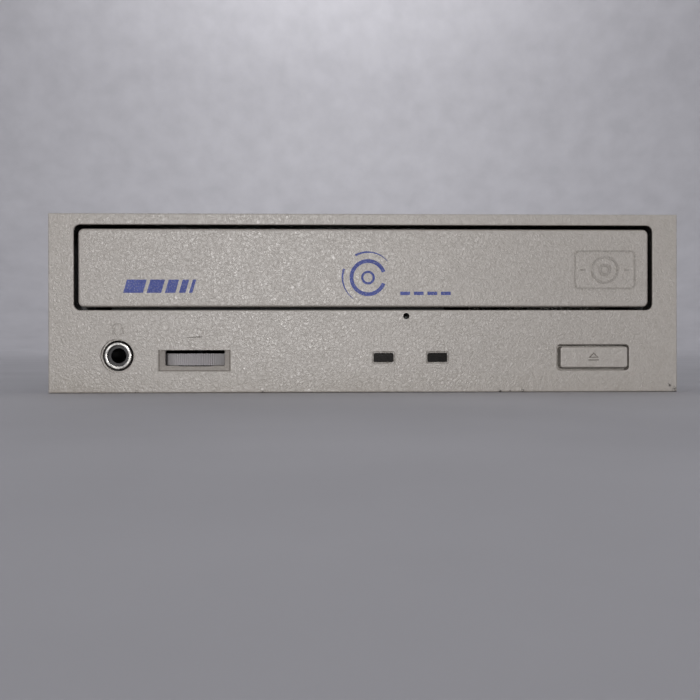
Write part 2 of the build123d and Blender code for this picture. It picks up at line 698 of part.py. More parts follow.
def volume_pot():
    y = deep(DIAL_DEPTH)
    half = min(POT_HALF, DIAL_DEPTH - GAP)
    body = block(VOLUME_X - half, VOLUME_X + half, y - half, y + half, FRONT_BOARD_TOP, DIAL_BOTTOM - GAP)
    return body + post(VOLUME_X, y, FRONT_BOARD_TOP, DIAL_TOP + 0.6, DIAL_PIN_R)


def eject_switch():
    y0, y1 = (deep(depth) for depth in SWITCH_DEPTHS)
    body = block(BUTTON_X - 3, BUTTON_X + 3, y0, y1, FRONT_BOARD_TOP, BUTTON_Z + 2.6)
    return body - rod_y(BUTTON_X, BUTTON_Z, y0 - OVERSHOOT, deep(SWITCH_BORE_END), PLUNGER_R + 2 * RUN)


def switch_plunger():
    return rod_y(BUTTON_X, BUTTON_Z, deep(STEM_END), deep(PLUNGER_END), PLUNGER_R)


def indicator_leds():
    leds = []
    for x in LED_XS:
        led = block(x - LED_HALF, x + LED_HALF, deep(1.0), deep(3.6), FRONT_BOARD_TOP, LED_Z + 1.6)
        leds.append(led + rod_y(x, LED_Z, deep(0), deep(1.2), LED_TIP_R))
    return Compound(leds)


# ---- case
def top_panel():
    """The outline of the sunk panel in the roof."""
    length = CASE_LENGTH - PANEL_FRONT_MARGIN - PANEL_BACK_MARGIN
    middle = PANEL_FRONT_MARGIN + length / 2
    return Pos(0, deep(middle), 0) * RectangleRounded(BODY_WIDTH - 2 * PANEL_SIDE_MARGIN, length, PANEL_ROUND)


def mount_holes(body):
    """Adds the turned-in collars of the bay screws and bores them."""
    wall = BODY_WIDTH / 2 - SHEET
    collar_top = SHEET + MOUNT_COLLAR_LENGTH
    for side in (-1, 1):
        for depth in MOUNT_DEPTHS:
            for z in SIDE_HOLE_HEIGHTS:
                collar_end = side * (wall - MOUNT_COLLAR_LENGTH)
                body += rod_x(deep(depth), z, side * wall, collar_end, MOUNT_COLLAR_R)
                out = side * (BODY_WIDTH / 2 + OVERSHOOT)
                body -= rod_x(deep(depth), z, out, collar_end - side * OVERSHOOT, MOUNT_HOLE_R)
    for x, y in corners(BOTTOM_HOLE_X, MOUNT_DEPTHS):
        body += post(x, y, 0, collar_top, MOUNT_COLLAR_R)
        body -= post(x, y, -OVERSHOOT, collar_top + OVERSHOOT, MOUNT_HOLE_R)
    return body


def back_wall_cuts(body):
    """The sockets' windows, the vents and the screw holes of the back wall."""
    ends = (BACK_WALL_IN - OVERSHOOT, REAR_Y)
    for x, width, height, *_ in (POWER, DATA, AUDIO, DIGITAL, JUMPER):
        reach = width / 2 + GAP
        body -= block(x - reach, x + reach, *ends, BOARD_TOP - 0.4, BOARD_TOP + height + GAP)
    for vent in range(VENTS):
        x = (vent - (VENTS - 1) / 2) * VENT_PITCH
        body -= slot_bar(x, VENT_HEIGHTS[0], x, VENT_HEIGHTS[1], *ends, VENT_WIDTH)
    for side in (-1, 1):
        body -= rod_y(side * REAR_BOSS_X, REAR_BOSS_Z, *ends, SCREW_R + RUN)
    return body


def top_cover():
    """Folded steel: roof, two sides, back wall and turned-in bottom flanges."""
    half = BODY_WIDTH / 2
    open_y = DATUM_Y - OVERSHOOT
    body = block(-half, half, DATUM_Y, BACK_WALL_OUT, 0, BODY_HEIGHT)
    body = fillet(body.edges().filter_by(Axis.Y).group_by(Axis.Z)[-1], FOLD_R)
    body -= block(-half + SHEET, half - SHEET, open_y, BACK_WALL_IN, SHEET, TOP_UNDER)
    inner = half - FLANGE_WIDTH
    body -= block(-inner, inner, open_y, BACK_WALL_IN, -OVERSHOOT, SHEET + OVERSHOOT)
    notch = half - 1.5
    body -= block(-notch, notch, open_y, deep(3), -OVERSHOOT, SHEET + 0.01)
    panel = top_panel()
    body += Pos(0, 0, TOP_UNDER - PANEL_SINK) * extrude(panel, PANEL_SINK + 0.1)
    body -= Pos(0, 0, BODY_HEIGHT - PANEL_SINK) * extrude(panel, PANEL_SINK + OVERSHOOT)
    hook_y0, hook_y1 = deep(LUG_DEPTHS[0] - GAP), deep(LUG_DEPTHS[1] + GAP)
    hook_z0, hook_z1 = LUG_HEIGHTS[0] - GAP, LUG_HEIGHTS[1] + GAP
    for side in (-1, 1):
        body -= block(side * (half - 2), side * (half + 1), hook_y0, hook_y1, hook_z0, hook_z1)
    return back_wall_cuts(mount_holes(body))


def bottom_cover():
    """Flat steel floor inside the flanges, with screw holes, board bosses and vents."""
    half = BODY_WIDTH / 2 - SHEET - GAP
    below = 0
    above = PLATE_TOP + OVERSHOOT
    plate = block(-half, half, deep(1), BACK_WALL_IN - GAP, PLATE_BOTTOM, PLATE_TOP)
    for x, y in corners(BOTTOM_HOLE_X, MOUNT_DEPTHS):
        plate -= post(x, y, below, above, MOUNT_COLLAR_R + GAP)
    for x, y in corners(FOOT_X, FOOT_DEPTHS):
        plate -= post(x, y, below, above, SCREW_R + RUN)
    for x, y in corners(FOOT_X, FOOT_DEPTHS[1:]):
        boss = post(x, y, PLATE_TOP, BOARD_BOTTOM, FOOT_R + 0.5)
        plate += boss - post(x, y, PLATE_TOP, BOARD_BOTTOM, FOOT_NECK_R + 2 * RUN)
    for x, y in corners(SPACER_X, (SPACER_DEPTH,)):
        plate += post(x, y, PLATE_TOP, BOARD_BOTTOM, SPACER_R)
    for row in range(FLOOR_VENT_ROWS):
        for column in range(FLOOR_VENT_COLUMNS):
            x = (column - (FLOOR_VENT_COLUMNS - 1) / 2) * FLOOR_VENT_PITCH[0]
            y = deep(FLOOR_VENT_FIRST + row * FLOOR_VENT_PITCH[1])
            plate -= post(x, y, below, above, FLOOR_VENT_R)
    return plate


def chassis_screws():
    """Slotted screws driven upwards into the chassis feet, heads under the floor."""
    shank, head_r = 7.0, 2.4
    z = PLATE_BOTTOM
    found = []
    for x, y in corners(FOOT_X, FOOT_DEPTHS):
        body = post(x, y, z - SCREW_HEAD, z, head_r) + post(x, y, z, z + shank, SCREW_R)
        slot = block(x - 1.4, x + 1.4, y - SCREW_SLOT, y + SCREW_SLOT, -OVERSHOOT, z - SCREW_HEAD + 0.4)
        found.append(body - slot)
    return Compound(found)


def back_screws():
    shank, head_r = 7.0, 2.6
    head_y = REAR_Y - 0.1
    found = []
    for side in (-1, 1):
        x, z = side * REAR_BOSS_X, REAR_BOSS_Z
        body = rod_y(x, z, BACK_WALL_OUT, head_y, head_r)
        body += rod_y(x, z, BACK_WALL_OUT - shank, BACK_WALL_OUT, SCREW_R)
        found.append(body - block(x - 1.5, x + 1.5, head_y - 0.4, REAR_Y, z - SCREW_SLOT, z + SCREW_SLOT))
    return Compound(found)


def top_label():
    width, length = LABEL_SIZE
    depth = CASE_LENGTH - PANEL_BACK_MARGIN - LABEL_BACK_MARGIN - length / 2
    outline = Pos(0, deep(depth), BODY_HEIGHT - PANEL_SINK) * RectangleRounded(width, length, 2)
    return extrude(outline, LABEL_THICK)


# ---- loader chassis
def gear_posts():
    """The two axle posts of the deck, each with a seat for its gear."""
    posts = []
    for x, depth in ((GEAR_X, GEAR_DEPTH), (PULLEY_X, PULLEY_DEPTH)):
        axle = post(x, deep(depth), DECK_BOTTOM, UPPER_TOP - 0.4, GEAR_POST_R)
        posts.append(axle + post(x, deep(depth), DECK_TOP - BITE, WHEEL_BOTTOM - 0.1, GEAR_SEAT_R))
    return posts[0] + posts[1]


def chassis_wall():
    """The right side wall: tray ledge, lips, gear and screw clearances, rear block and hinge bearing."""
    y0, y1 = deep(CHASSIS_FRONT), deep(CHASSIS_BACK)
    wall = block(WALL_IN, WALL_OUT, y0, y1, WALL_BOTTOM, WALL_TOP)
    ledge_top = TRAY_SKIRT_BOTTOM - GAP
    wall += block(WALL_IN - LEDGE_REACH, WALL_IN + BITE, y0, y1, ledge_top - LIP_THICK, ledge_top)
    sweep_r = WHEEL_R + WHEEL_MODULE + GAP
    wall -= post(GEAR_X, deep(GEAR_DEPTH), WHEEL_BOTTOM - GAP, WHEEL_TOP + GAP, sweep_r)
    lip = TRAY_RIM_TOP + GAP
    for depth in LIP_DEPTHS:
        lip_y0, lip_y1 = deep(depth), deep(depth + LIP_LENGTH)
        wall += block(WALL_IN - LIP_REACH, WALL_IN + BITE, lip_y0, lip_y1, lip, lip + LIP_THICK)
    for depth in MOUNT_DEPTHS:
        for z in SIDE_HOLE_HEIGHTS:
            wall -= rod_x(deep(depth), z, WALL_IN - 3, WALL_OUT + OVERSHOOT, MOUNT_COLLAR_R + 0.2)
    z0, z1 = REAR_BOSS_Z - REAR_BLOCK_HALF_HEIGHT, REAR_BOSS_Z + REAR_BLOCK_HALF_HEIGHT
    wall += block(WALL_OUT - REAR_BLOCK_WIDTH, WALL_OUT, deep(TRAY_LENGTH + GAP), BACK_WALL_IN, z0, z1)
    wall -= rod_y(REAR_BOSS_X, REAR_BOSS_Z, BACK_WALL_IN - 8, REAR_Y, SCREW_R + RUN)
    inside = RING_HALF_WIDTH + 1.0
    y0, y1 = deep(LIFT_HINGE_DEPTH - BEARING_HALF), deep(LIFT_HINGE_DEPTH + BEARING_HALF)
    bearing = block(inside, WALL_IN + BITE, y0, y1, LIFT_Z - BEARING_HALF, LIFT_Z + BEARING_HALF)
    pin_end = RING_HALF_WIDTH + HINGE_PIN + 2 * GAP
    return wall + bearing - rod_x(deep(LIFT_HINGE_DEPTH), LIFT_Z, inside - 1, pin_end, HINGE_R + RUN)


def loader_chassis():
    """One moulding: two walls, the gear deck in front, the rear bar, feet and posts."""
    reach = WALL_IN + BITE
    body = both_sides(chassis_wall())
    body += block(-reach, reach, deep(CHASSIS_FRONT), deep(DECK_BACK), DECK_BOTTOM, DECK_TOP)
    body += block(-reach, reach, deep(REAR_BAR_DEPTH), deep(CHASSIS_BACK), *REAR_BAR_HEIGHTS)
    body += gear_posts()
    for x, y in corners(FOOT_X, FOOT_DEPTHS[:1]):
        body += post(x, y, PLATE_TOP, DECK_BOTTOM + BITE, FOOT_R)
    for x, y in corners(FOOT_X, FOOT_DEPTHS[1:]):
        body += post(x, y, BOARD_TOP, FOOT_TOP, FOOT_R) + post(x, y, PLATE_TOP, FOOT_TOP, FOOT_NECK_R)
    for x, y in corners(FOOT_X, FOOT_DEPTHS):
        body -= post(x, y, 0, 9, SCREW_R + RUN)
    for x in FRONT_BOARD_POSTS:
        y = deep(FRONT_POST_DEPTH)
        body += post(x, y, FRONT_BOARD_TOP, DECK_BOTTOM + BITE, FRONT_POST_R)
        body += post(x, y, FRONT_BOARD_BOTTOM, FRONT_BOARD_TOP, SCREW_R)
    y = deep(MOTOR_DEPTH)
    body -= post(MOTOR_X, y, DECK_BOTTOM - OVERSHOOT, DECK_TOP + OVERSHOOT, MOTOR_HOLE_R)
    return body + post(GUIDE_X, deep(GUIDE_DEPTH), DECK_TOP - BITE, DECK_TOP + GUIDE_RISE, GUIDE_R)


def clamp_bridge():
    """The steel strip across the chassis walls, with two stiffening ribs."""
    y0, y1 = deep(DISC_DEPTH - BRIDGE_REACH), deep(DISC_DEPTH + BRIDGE_REACH)
    bridge = block(-WALL_OUT, WALL_OUT, y0, y1, WALL_TOP, WALL_TOP + BRIDGE_SHEET)
    bridge = fillet(bridge.edges().filter_by(Axis.Z), BRIDGE_ROUND)
    z0, z1 = (WALL_TOP + height for height in RIB_HEIGHTS)
    for side in (-1, 1):
        y = deep(DISC_DEPTH + side * (BRIDGE_REACH - RIB_INSET))
        bridge += block(-RIB_HALF_LENGTH, RIB_HALF_LENGTH, y - RIB_HALF, y + RIB_HALF, z0, z1)
    hole_r = CLAMPER_NECK_R + 2 * GAP
    return bridge - post(0, deep(DISC_DEPTH), WALL_TOP - OVERSHOOT, WALL_TOP + 2, hole_r)


def clamper():
    """The puck that holds a disc down: a collar over the bridge and a foot under it."""
    y = deep(DISC_DEPTH)
    top = WALL_TOP + BRIDGE_SHEET + GAP + CLAMPER_COLLAR_THICK
    body = post(0, y, CLAMPER_FACE, CLAMPER_FACE + CLAMPER_FOOT, TURNTABLE_R)
    body += post(0, y, CLAMPER_FACE + 1, top, CLAMPER_NECK_R)
    body += post(0, y, top - CLAMPER_COLLAR_THICK, top, CLAMPER_NECK_R + CLAMPER_COLLAR)
    body -= post(0, y, CLAMPER_FACE - OVERSHOOT, CLAMPER_FACE + CLAMPER_RECESS, HUB_R + 1.0)
    return body - post(0, y, MAGNET_BOTTOM, top + OVERSHOOT, MAGNET_R)


def clamper_magnet():
    y = deep(DISC_DEPTH)
    top = MAGNET_BOTTOM + MAGNET_THICK
    ring = post(0, y, MAGNET_BOTTOM, top, MAGNET_R - RUN)
    return ring - post(0, y, MAGNET_BOTTOM - OVERSHOOT, top + OVERSHOOT, MAGNET_HOLE_R)


# ---- tray
def cam_groove():
    """A rib under the tray, with the slanting groove that pushes the cam slider."""
    lean = -degrees(atan2(CAM_TRAVEL, TRAY_TRAVEL))
    middle_y = deep(CAM_PIN_DEPTH + TRAY_TRAVEL / 2)
    middle = Pos(CAM_PIN_X + CAM_TRAVEL / 2, middle_y, 0) * Rot(0, 0, lean)
    length = hypot(TRAY_TRAVEL, CAM_TRAVEL)
    low, high = TRAY_SKIRT_BOTTOM, TRAY_FLOOR_BOTTOM + GAP
    width = 2 * CAM_PIN_R + GAP
    rib = middle * Pos(0, 0, (low + high) / 2) * Box(width + 2 * CAM_RIB, length + CAM_RUNOUT, high - low)
    groove = middle * Rot(0, 0, 90) * SlotOverall(length + width, width)
    depth = TRAY_FLOOR_BOTTOM - low + OVERSHOOT
    return rib - Pos(0, 0, low - OVERSHOOT) * extrude(groove, depth)


def tray():
    y0 = FRONT_Y + TRAY_FRONT_SKIN
    y1 = deep(TRAY_LENGTH)
    disc_y = deep(DISC_DEPTH)
    half = TRAY_HALF_WIDTH
    above = TRAY_RIM_TOP + OVERSHOOT
    join = TRAY_FLOOR_BOTTOM + GAP
    body = block(-half, half, y0, y1, TRAY_FLOOR_BOTTOM, TRAY_RIM_TOP)
    body = fillet(body.edges().filter_by(Axis.Z), 2.0)
    body -= post(0, disc_y, TRAY_FLOOR_TOP, above, DISC_POCKET_R)
    body -= post(0, disc_y, TRAY_FLOOR_TOP - SMALL_POCKET_SINK, above, SMALL_POCKET_R)
    body -= post(0, disc_y, 0, above, SLOT_HALF_WIDTH)
    body -= block(-SLOT_HALF_WIDTH, SLOT_HALF_WIDTH, disc_y, y1 + OVERSHOOT, 0, above)
    side_wall, back_wall = REAR_POCKET_WALLS
    pocket = (deep(REAR_POCKET_DEPTH), y1 - back_wall, TRAY_FLOOR_TOP, above)
    for side in (-1, 1):
        body -= block(side * REAR_POCKET_X, side * (half - side_wall), *pocket)
        body += block(side * (half - TRAY_SKIRT), side * half, y0 + 3, y1 - 2, TRAY_SKIRT_BOTTOM, join)
        clip = (y0, y0 + CLIP_THICK, TRAY_SKIRT_BOTTOM, join)
        body += block(side * CLIP_XS[0], side * CLIP_XS[1], *clip)
    rack_y0, rack_y1 = deep(RACK_ENDS[0]), deep(TRAY_LENGTH - RACK_ENDS[1])
    return body + cam_groove() + rack(deep(GEAR_DEPTH), rack_y0, rack_y1, TRAY_SKIRT_BOTTOM + 0.1, join)


# ---- loading gears
def tray_gear():
    """A large wheel below, driven by the pulley's pinion, and the pinion that drives the tray."""
    body = gear(WHEEL_TEETH, WHEEL_MODULE, WHEEL_BOTTOM, WHEEL_TOP, GEAR_LINE_ANGLE)
    body += gear(RACK_TEETH, RACK_MODULE, WHEEL_TOP - 0.1, UPPER_TOP, 0)
    body -= post(0, 0, WHEEL_BOTTOM - OVERSHOOT, UPPER_TOP + OVERSHOOT, GEAR_POST_R + RUN)
    return Pos(GEAR_X, deep(GEAR_DEPTH), 0) * body


def belt_groove(pulley_r, groove_r):
    """The ring cut out of a pulley for the belt."""
    ring = Circle(pulley_r + OVERSHOOT) - Circle(groove_r)
    return Pos(0, 0, UPPER_MIDDLE) * extrude(ring, GROOVE_HALF, both=True)


def pulley_gear():
    space_angle = GEAR_LINE_ANGLE + 180 + 180 / PINION_TEETH
    body = gear(PINION_TEETH, WHEEL_MODULE, WHEEL_BOTTOM, UPPER_BOTTOM + 0.1, space_angle)
    body += post(0, 0, UPPER_BOTTOM, UPPER_TOP, PULLEY_R)
    body -= belt_groove(PULLEY_R, PULLEY_GROOVE_R)
    body -= post(0, 0, WHEEL_BOTTOM - OVERSHOOT, UPPER_TOP + OVERSHOOT, GEAR_POST_R + RUN)
    return Pos(PULLEY_X, deep(PULLEY_DEPTH), 0) * body


def motor_pulley():
    body = post(0, 0, UPPER_BOTTOM - MOTOR_PULLEY_SKIRT, UPPER_TOP, MOTOR_PULLEY_R)
    body -= belt_groove(MOTOR_PULLEY_R, MOTOR_GROOVE_R)
    body -= post(0, 0, 0, UPPER_TOP + OVERSHOOT, SHAFT_R)
    return Pos(MOTOR_X, deep(MOTOR_DEPTH), 0) * body


def motor_shaft():
    return post(MOTOR_X, deep(MOTOR_DEPTH), SHAFT_BOTTOM, UPPER_TOP, SHAFT_R)


def loading_motor():
    y = deep(MOTOR_DEPTH)
    body = post(MOTOR_X, y, MOTOR_BOTTOM, DECK_BOTTOM, MOTOR_R)
    body = fillet(body.edges().filter_by(GeomType.CIRCLE).sort_by(Axis.Z)[0], 0.8)
    body += post(MOTOR_X, y, DECK_BOTTOM - BITE, DECK_BOTTOM + MOTOR_NECK, MOTOR_NECK_R)
    return body - post(MOTOR_X, y, SHAFT_BOTTOM - 1, DECK_TOP + OVERSHOOT, SHAFT_R + RUN)


def belt_loop(small_r, big_r, apart):
    """The face inside a taut belt round two circles, the small one at the origin."""
    spread = (PULLEY_GROOVE_R - MOTOR_GROOVE_R) / apart
    side = sqrt(1 - spread**2)
    tangents = [
        (-small_r * spread, small_r * side),
        (apart - big_r * spread, big_r * side),
        (apart - big_r * spread, -big_r * side),
        (-small_r * spread, -small_r * side),
    ]
    return make_face(Polyline(tangents, close=True)) + Circle(small_r) + Pos(apart, 0) * Circle(big_r)


def drive_belt():
    """A square rubber belt round the two grooves, just clear of them."""
    small_r, big_r = MOTOR_GROOVE_R + BELT_CLEAR, PULLEY_GROOVE_R + BELT_CLEAR
    dx, dy = PULLEY_X - MOTOR_X, PULLEY_DEPTH - MOTOR_DEPTH
    apart = hypot(dx, dy)
    ring = belt_loop(small_r + BELT, big_r + BELT, apart) - belt_loop(small_r, big_r, apart)
    place = Pos(MOTOR_X, deep(MOTOR_DEPTH), UPPER_MIDDLE) * Rot(0, 0, degrees(atan2(dy, dx)))
    return place * extrude(ring, BELT / 2, both=True)


# ---- lifting the traverse
def cam_slider():
    """A sliding plate: a pin in the tray's groove, and a hanging wall with two cam slots."""
    low = DECK_TOP + GAP
    high = low + CAM_PLATE_THICK
    y0, y1 = (deep(depth) for depth in CAM_WALL_DEPTHS)
    left, right = CAM_PLATE_XS
    body = block(left, right, deep(CAM_PLATE_FRONT), y1, low, high)
    body += post(CAM_PIN_X, deep(CAM_PIN_DEPTH), low, CAM_PIN_TOP, CAM_PIN_R)
    body += block(left, LIFT_PIN_XS[1] + CAM_WALL_END, y0, y1, CAM_WALL_BOTTOM, high)
    width = 2 * LIFT_PIN_R + 2 * GAP
    for x in LIFT_PIN_XS:
        end_x, end_z = x - CAM_TRAVEL, LIFT_Z - LIFT_DROP
        body -= slot_bar(x, LIFT_Z, end_x, end_z, y0 - OVERSHOOT, y1 + OVERSHOOT, width)
    guide_width = 2 * GUIDE_R + 0.4
    guide = SlotOverall(CAM_TRAVEL + guide_width, guide_width)
    place = Pos(GUIDE_X - CAM_TRAVEL / 2, deep(GUIDE_DEPTH), low - OVERSHOOT)
    return body - place * extrude(guide, CAM_PLATE_THICK + 2 * OVERSHOOT)


def lift_frame():
    """The ring that carries the traverse; hinged at the back, with two cam pins in front."""
    half = RING_HALF_WIDTH
    inner = half - RING_WIDTH
    y0, y1 = deep(RING_FRONT), deep(RING_BACK)
    low, high = RING_BOTTOM - OVERSHOOT, RING_TOP + OVERSHOOT
    body = block(-half, half, y0, y1, RING_BOTTOM, RING_TOP)
    body -= block(-inner, inner, y0 + RING_WIDTH, y1 - RING_WIDTH, low, high)
    body = fillet(body.edges().filter_by(Axis.Z), RING_ROUND)
    body -= post(0, deep(DISC_DEPTH), low, high, SPINDLE_R + 2 * GAP)
    for x in LIFT_PIN_XS:
        body += rod_y(x, LIFT_Z, deep(LIFT_PIN_FRONT), y0 + 1, LIFT_PIN_R)
    body += both_sides(rod_x(deep(LIFT_HINGE_DEPTH), LIFT_Z, half - 1, half + HINGE_PIN, HINGE_R))
    for x, y in corners(DAMPER_X, DAMPER_DEPTHS):
        body -= post(x, y, low, high, SCREW_R + RUN)
    return body


def traverse_base():
    """The pressed plate with the motor hole, the pickup window, the ears and the rail seats."""
    half = RING_HALF_WIDTH - RING_WIDTH - BASE_GAP
    y0, y1 = deep(RING_FRONT + RING_WIDTH + BASE_GAP), deep(RING_BACK - RING_WIDTH - BASE_GAP)
    low, high = 0, 30
    body = block(-half, half, y0, y1, BASE_BOTTOM, BASE_TOP)
    for x, y in corners(DAMPER_X, DAMPER_DEPTHS):
        root_x = x / DAMPER_X * (half - 6)
        body += block(root_x, x, y - EAR_HALF, y + EAR_HALF, BASE_BOTTOM, BASE_TOP)
        body += post(x, y, BASE_BOTTOM, BASE_TOP, EAR_HALF)
    window_right = SCREW_X + WINDOW_MARGIN
    body -= block(WINDOW_LEFT, window_right, deep(WINDOW_FRONT), deep(WINDOW_BACK), low, high)
    motor_half = FEED_MOTOR_R + GAP
    motor_y = deep(FEED_MOTOR_DEPTHS[0] - 0.5)
    body -= block(SCREW_X - motor_half, SCREW_X + motor_half, motor_y, deep(WINDOW_FRONT + 1), low, high)
    body -= post(0, deep(DISC_DEPTH), low, high, SPINDLE_R + GAP)
    for x, y in corners(DAMPER_X, DAMPER_DEPTHS):
        body -= post(x, y, low, high, DAMPER_NECK_R + RUN)
    for x, y in corners(RAIL_X, SEAT_DEPTHS):
        seat = block(x - SEAT_HALF, x + SEAT_HALF, y, y + SEAT_LENGTH, BASE_BOTTOM, RAIL_Z + RAIL_SEAT_RISE)
        body += seat - rod_y(x, RAIL_Z, y - OVERSHOOT, y + SEAT_LENGTH + OVERSHOOT, RAIL_R)
    y = deep(SEAT_DEPTHS[1])
    z0, z1 = SCREW_Z - SCREW_SEAT_RISE, SCREW_Z + SCREW_SEAT_RISE
    body += block(SCREW_X - SEAT_HALF, SCREW_X + SEAT_HALF, y, y + SEAT_LENGTH, z0, z1)
    return body - rod_y(SCREW_X, SCREW_Z, y - OVERSHOOT, y + SEAT_LENGTH + OVERSHOOT, SCREW_TIP_R + RUN)


def dampers():
    """Grommets whose neck holds an ear of the traverse plate between two collars."""
    top = BASE_TOP + DAMPER_THICK
    found = []
    for x, y in corners(DAMPER_X, DAMPER_DEPTHS):
        body = post(x, y, RING_TOP, BASE_BOTTOM, DAMPER_R) + post(x, y, BASE_TOP, top, DAMPER_R)
        body += post(x, y, RING_TOP, top, DAMPER_NECK_R)
        found.append(body - post(x, y, RING_TOP - OVERSHOOT, top + OVERSHOOT, SCREW_R + RUN))
    return Compound(found)


def damper_screws():
    head_r, head = 2.8, 0.9
    top = BASE_TOP + DAMPER_THICK
    found = []
    for x, y in corners(DAMPER_X, DAMPER_DEPTHS):
        body = post(x, y, RING_BOTTOM + 0.2, top, SCREW_R) + post(x, y, top, top + head, head_r)
        slot = block(x - 1.5, x + 1.5, y - SCREW_SLOT, y + SCREW_SLOT, top + 0.5, top + 2)
        found.append(body - slot)
    return Compound(found)


# ---- spindle
def spindle_motor():
    """The motor's can, with the plate that fixes it under the traverse plate."""
    y = deep(DISC_DEPTH)
    half_x, half_y, thick = SPINDLE_PLATE
    body = fillet(top_edges(post(0, y, SPINDLE_BOTTOM, SPINDLE_TOP, SPINDLE_R)), 0.8)
    body += block(-half_x, half_x, y - half_y, y + half_y, BASE_BOTTOM - thick, BASE_BOTTOM)
    return body - post(0, y, SPINDLE_BORE_BOTTOM, SPINDLE_TOP + OVERSHOOT, SHAFT_R + RUN)


def spindle_shaft():
    return post(0, deep(DISC_DEPTH), *SPINDLE_SHAFT, SHAFT_R)


def turntable():
    y = deep(DISC_DEPTH)
    hub_top = DISC_REST + HUB_RISE
    cone_in, cone = HUB_CONE
    body = post(0, y, TURNTABLE_BOTTOM, DISC_REST - PAD_THICK, TURNTABLE_R)
    body += post(0, y, DISC_REST - PAD_THICK - 0.1, hub_top, HUB_R)
    body += Pos(0, y, hub_top + cone / 2) * Cone(HUB_R, HUB_R - cone_in, cone)
    return body - post(0, y, TURNTABLE_BOTTOM - OVERSHOOT, SPINDLE_SHAFT[1], SHAFT_R)


def turntable_pad():
    y = deep(DISC_DEPTH)
    pad = post(0, y, DISC_REST - PAD_THICK, DISC_REST, TURNTABLE_R - PAD_EDGE)
    return pad - post(0, y, TURNTABLE_BOTTOM, DISC_REST + OVERSHOOT, HUB_R + PAD_HUB_GAP)


# ---- pickup
def rail(x):
    y0, y1 = deep(SEAT_DEPTHS[0] + RAIL_INSET), deep(SEAT_DEPTHS[1] + SEAT_LENGTH - RAIL_INSET)
    return rod_y(x, RAIL_Z, y0, y1, RAIL_R)


def pickup_body():
    """The sled: a long bearing arm on the main rail and a forked arm on the other."""
    y0, y1 = deep(SLED_FRONT), deep(SLED_BACK)
    lens_y = deep(LENS_DEPTH)
    root = SLED_HALF_WIDTH - 1
    body = block(-SLED_HALF_WIDTH, SLED_HALF_WIDTH, y0, y1, SLED_BOTTOM, SLED_TOP)
    body = fillet(body.edges().filter_by(Axis.Z), 1.5)
    deck = (lens_y - OPTICS_REACH[0], lens_y + OPTICS_REACH[1], SLED_TOP - BITE, OPTICS_TOP)
    body += block(-OPTICS_HALF_WIDTH, OPTICS_HALF_WIDTH, *deck)
    body += block(-SLED_ARM_XS[0], -root, y0 + 1, y1 - 1, SLED_ARM_BOTTOM, SLED_TOP)
    fork = (y0 + SLED_SMALL_ARM[0], y0 + SLED_SMALL_ARM[1], SLED_ARM_BOTTOM, SLED_TOP - 0.2)
    body += block(root, SLED_ARM_XS[1], *fork)
    body -= rod_y(-RAIL_X, RAIL_Z, y0 - OVERSHOOT, y1 + OVERSHOOT, RAIL_R + RUN)
    slot = (y0, y1, RAIL_Z - RAIL_R - RUN, RAIL_Z + RAIL_R + RUN)
    body -= block(RAIL_X - RAIL_R - 0.1, SLED_ARM_XS[1] + OVERSHOOT, *slot)
    return body - post(0, deep(DISC_DEPTH), SLED_TOP + 0.2, 30, TURNTABLE_R + 1)


def lens_holder():
    y = deep(LENS_DEPTH)
    half = HOLDER_HALF
    plate = block(-half, half, y - half, y + half, OPTICS_TOP, OPTICS_TOP + HOLDER_THICK)
    return plate - post(0, y, OPTICS_TOP - OVERSHOOT, OPTICS_TOP + 2, LENS_R)


def objective_lens():
    glass = post(0, deep(LENS_DEPTH), OPTICS_TOP, OPTICS_TOP + LENS_THICK, LENS_R)
    return fillet(top_edges(glass), LENS_CROWN)


def sled_follower():
    """The half nut between the pickup and the feed screw."""
    y = deep(SLED_FRONT + NUT_SET_IN)
    y0, y1 = y - NUT_HALF, y + NUT_HALF
    body = block(SLED_HALF_WIDTH, SCREW_X, y0, y1, NUT_BOTTOM, SCREW_Z)
    body += block(SLED_HALF_WIDTH, SLED_ARM_XS[0], y0, y1, NUT_BOTTOM, SLED_ARM_BOTTOM)
    return body - rod_y(SCREW_X, SCREW_Z, y0 - OVERSHOOT, y1 + OVERSHOOT, LEAD_R + NUT_CLEAR)


def feed_motor():
    y0, y1 = (deep(depth) for depth in FEED_MOTOR_DEPTHS)
    body = rod_y(SCREW_X, SCREW_Z, y0, y1, FEED_MOTOR_R)
    flange = (y1 - 1, y1 - 1 + FEED_FLANGE_THICK, FEED_FLANGE_BOTTOM, BASE_BOTTOM)
    body += block(SCREW_X - FEED_FLANGE_HALF, SCREW_X + FEED_FLANGE_HALF, *flange)
    return body - rod_y(SCREW_X, SCREW_Z, deep(SCREW_BORE_FRONT), y1 + 2, SCREW_TIP_R + RUN)


def lead_screw():
    """The feed screw, with a shallow helical groove."""
    y0, y1 = deep(LEAD_FRONT), deep(WINDOW_BACK - 1.0)
    tip_y = deep(SEAT_DEPTHS[1] + SEAT_LENGTH - 0.8)
    body = rod_y(SCREW_X, SCREW_Z, y0, y1, LEAD_R)
    body += rod_y(SCREW_X, SCREW_Z, deep(SCREW_FRONT), tip_y, SCREW_TIP_R)
    margin = LEAD / 2
    path = Helix(pitch=LEAD, height=y1 - y0 - 2 * margin, radius=LEAD_R)
    start = Plane(origin=path @ 0, z_dir=path % 0)
    groove = sweep(start * Circle(LEAD_GROOVE_R), path=path)
    return body - facing_front(SCREW_X, y1 - margin, SCREW_Z) * groove


# ---- boards and connectors
def main_board():
    half = BOARD_HALF_WIDTH
    board = block(-half, half, deep(BOARD_FRONT), deep(BOARD_BACK), BOARD_BOTTOM, BOARD_TOP)
    for x, y in corners(FOOT_X, FOOT_DEPTHS[1:]):
        board -= post(x, y, BOARD_BOTTOM - OVERSHOOT, BOARD_TOP + OVERSHOOT, FOOT_NECK_R + 2 * RUN)
    return board


